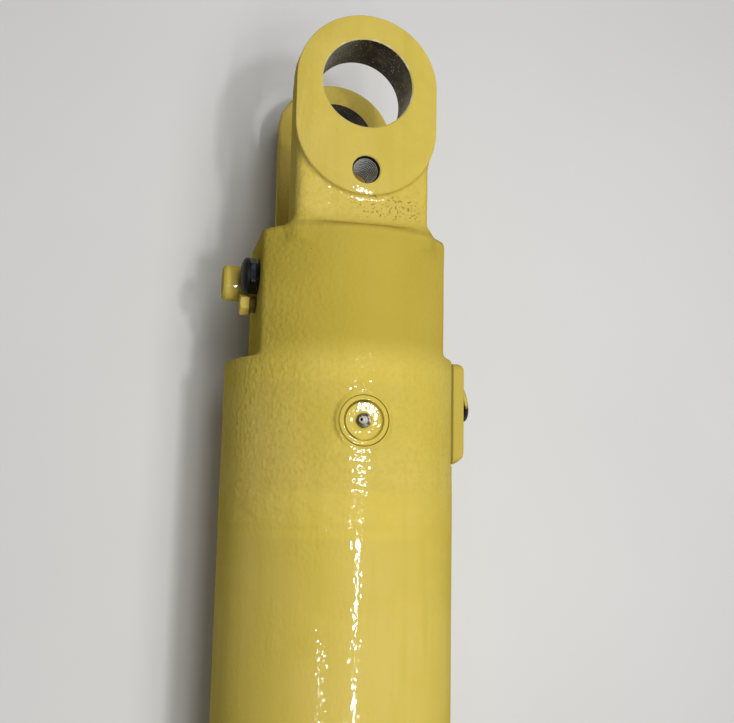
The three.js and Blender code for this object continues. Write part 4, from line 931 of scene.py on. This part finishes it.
g = [(0, 8, 0), (4, 8, 0), (4, -0.5, 0), (5.0, -0.5, 0.2), (5.0, -1.2, 0.2), (0, -1.2, 0)]
nip = mesh_of("nip", *lathe(soften(g, 0.2), 48, "y"))
h = mesh_of("h", *extrude(hexagon(9.0), -5.0, -1.0, "y"))
h = carve(h, lathe([(0, -0.5), (5.3, -0.5), (5.3, -4.3), (4.3, -5.2), (0, -5.2)], 48, "y"), op="INTERSECT")
nip = boolean(nip, h, "UNION")
nip = carve(nip, lathe(soften([(0, -4.6, 0), (3.1, -4.6, 0), (3.1, -6.5, 0.3), (2.2, -8.2, 0.8), (3.1, -9.7, 0.6), (2, -11.6, 0.5), (0, -11.6, 0)], 0.3, 4), 48, "y"), op="UNION")
nip = carve(nip, lathe([(0, -20), (0.8, -20), (0.8, 2), (0, 2)], 24, "y"))
nip.transform(Matrix.Translation((0, (EYE_Y - 84.6) * 0.001, 0)))
piece("grease_nipple", nip, "rod", ZINC, "eye_grease_fitting", 30)

# ------------------------------------------------------------------ floor, lights
me = bpy.data.meshes.new("floor")
me.from_pydata([(-9, -9, 0), (9, -9, 0), (9, 9, 0), (-9, 9, 0)], [], [(0, 1, 2, 3)])
m, t, b, co = material("floor_pale")
t.links.new(mix(t, ramp(t, noise(t, co, 3.0, 3.0), 0.3, 0.7), (0.69, 0.69, 0.69), (0.67, 0.67, 0.67)), b.inputs["Base Color"])
b.inputs["Roughness"].default_value = 0.85
b.inputs["Specular IOR Level"].default_value = 0.2
me.materials.append(m)
floor = bpy.data.objects.new("floor", me)
floor.location = (0, 0, -0.0006)
scene.collection.objects.link(floor)


def area(name, loc, target, sx, sy, power, color=(1, 1, 1), mirrored=True):
    d = bpy.data.lights.new(name, "AREA")
    d.shape, d.size, d.size_y, d.energy, d.color = "RECTANGLE", sx, sy, power, color
    o = bpy.data.objects.new(name, d)
    z = (np.array(loc, float) - np.array(target, float))
    z /= np.linalg.norm(z)
    y = np.array([0.0, 1.0, 0.0])
    x = np.cross(y, z)
    x /= np.linalg.norm(x)
    y = np.cross(z, x)
    o.matrix_world = Matrix([[x[i], y[i], z[i], loc[i]] for i in range(3)] + [[0, 0, 0, 1]])
    o.visible_glossy = mirrored
    scene.collection.objects.link(o)
    return o


area("key", (0.34, 0.42, 2.05), (0.0, 0.1, 0.1), 1.0, 1.9, 26.8, (1.0, 0.99, 0.97), False)
area("top", (-0.10, 0.5, 2.6), (0.0, 0.1, 0.1), 1.4, 2.4, 6.0, (1, 1, 1), False)
area("strip", (0.197, 0.025, 1.405), (0.0, 0.025, 0.1), 0.014, 0.215, 1.25)
area("strip_end", (0.168, -0.235, 1.405), (0.0, -0.235, 0.1), 0.020, 0.10, 0.75)
area("strip_far", (0.250, 0.290, 1.405), (0.0, 0.290, 0.1), 0.056, 0.110, 3.3)
area("strip_left", (-0.525, -0.172, 1.405), (0.0, -0.172, 0.1), 0.012, 0.060, 0.28)
area("strip_head", (0.02, -0.32, 1.405), (0.0, 0.3, 0.1), 0.080, 0.035, 0.75)

w = bpy.data.worlds.new("studio")
scene.world = w
w.use_nodes = True
t = w.node_tree
bg = t.nodes["Background"]
gen = t.nodes.new("ShaderNodeTexCoord")
sep = t.nodes.new("ShaderNodeSeparateXYZ")
t.links.new(gen.outputs["Generated"], sep.inputs[0])
t.links.new(mix(t, ramp(t, sep.outputs[0], -1.0, 1.0), (0.22, 0.23, 0.25), (1.0, 1.0, 1.0)), bg.inputs["Color"])
bg.inputs["Strength"].default_value = 0.17
scene.view_settings.view_transform = "Standard"
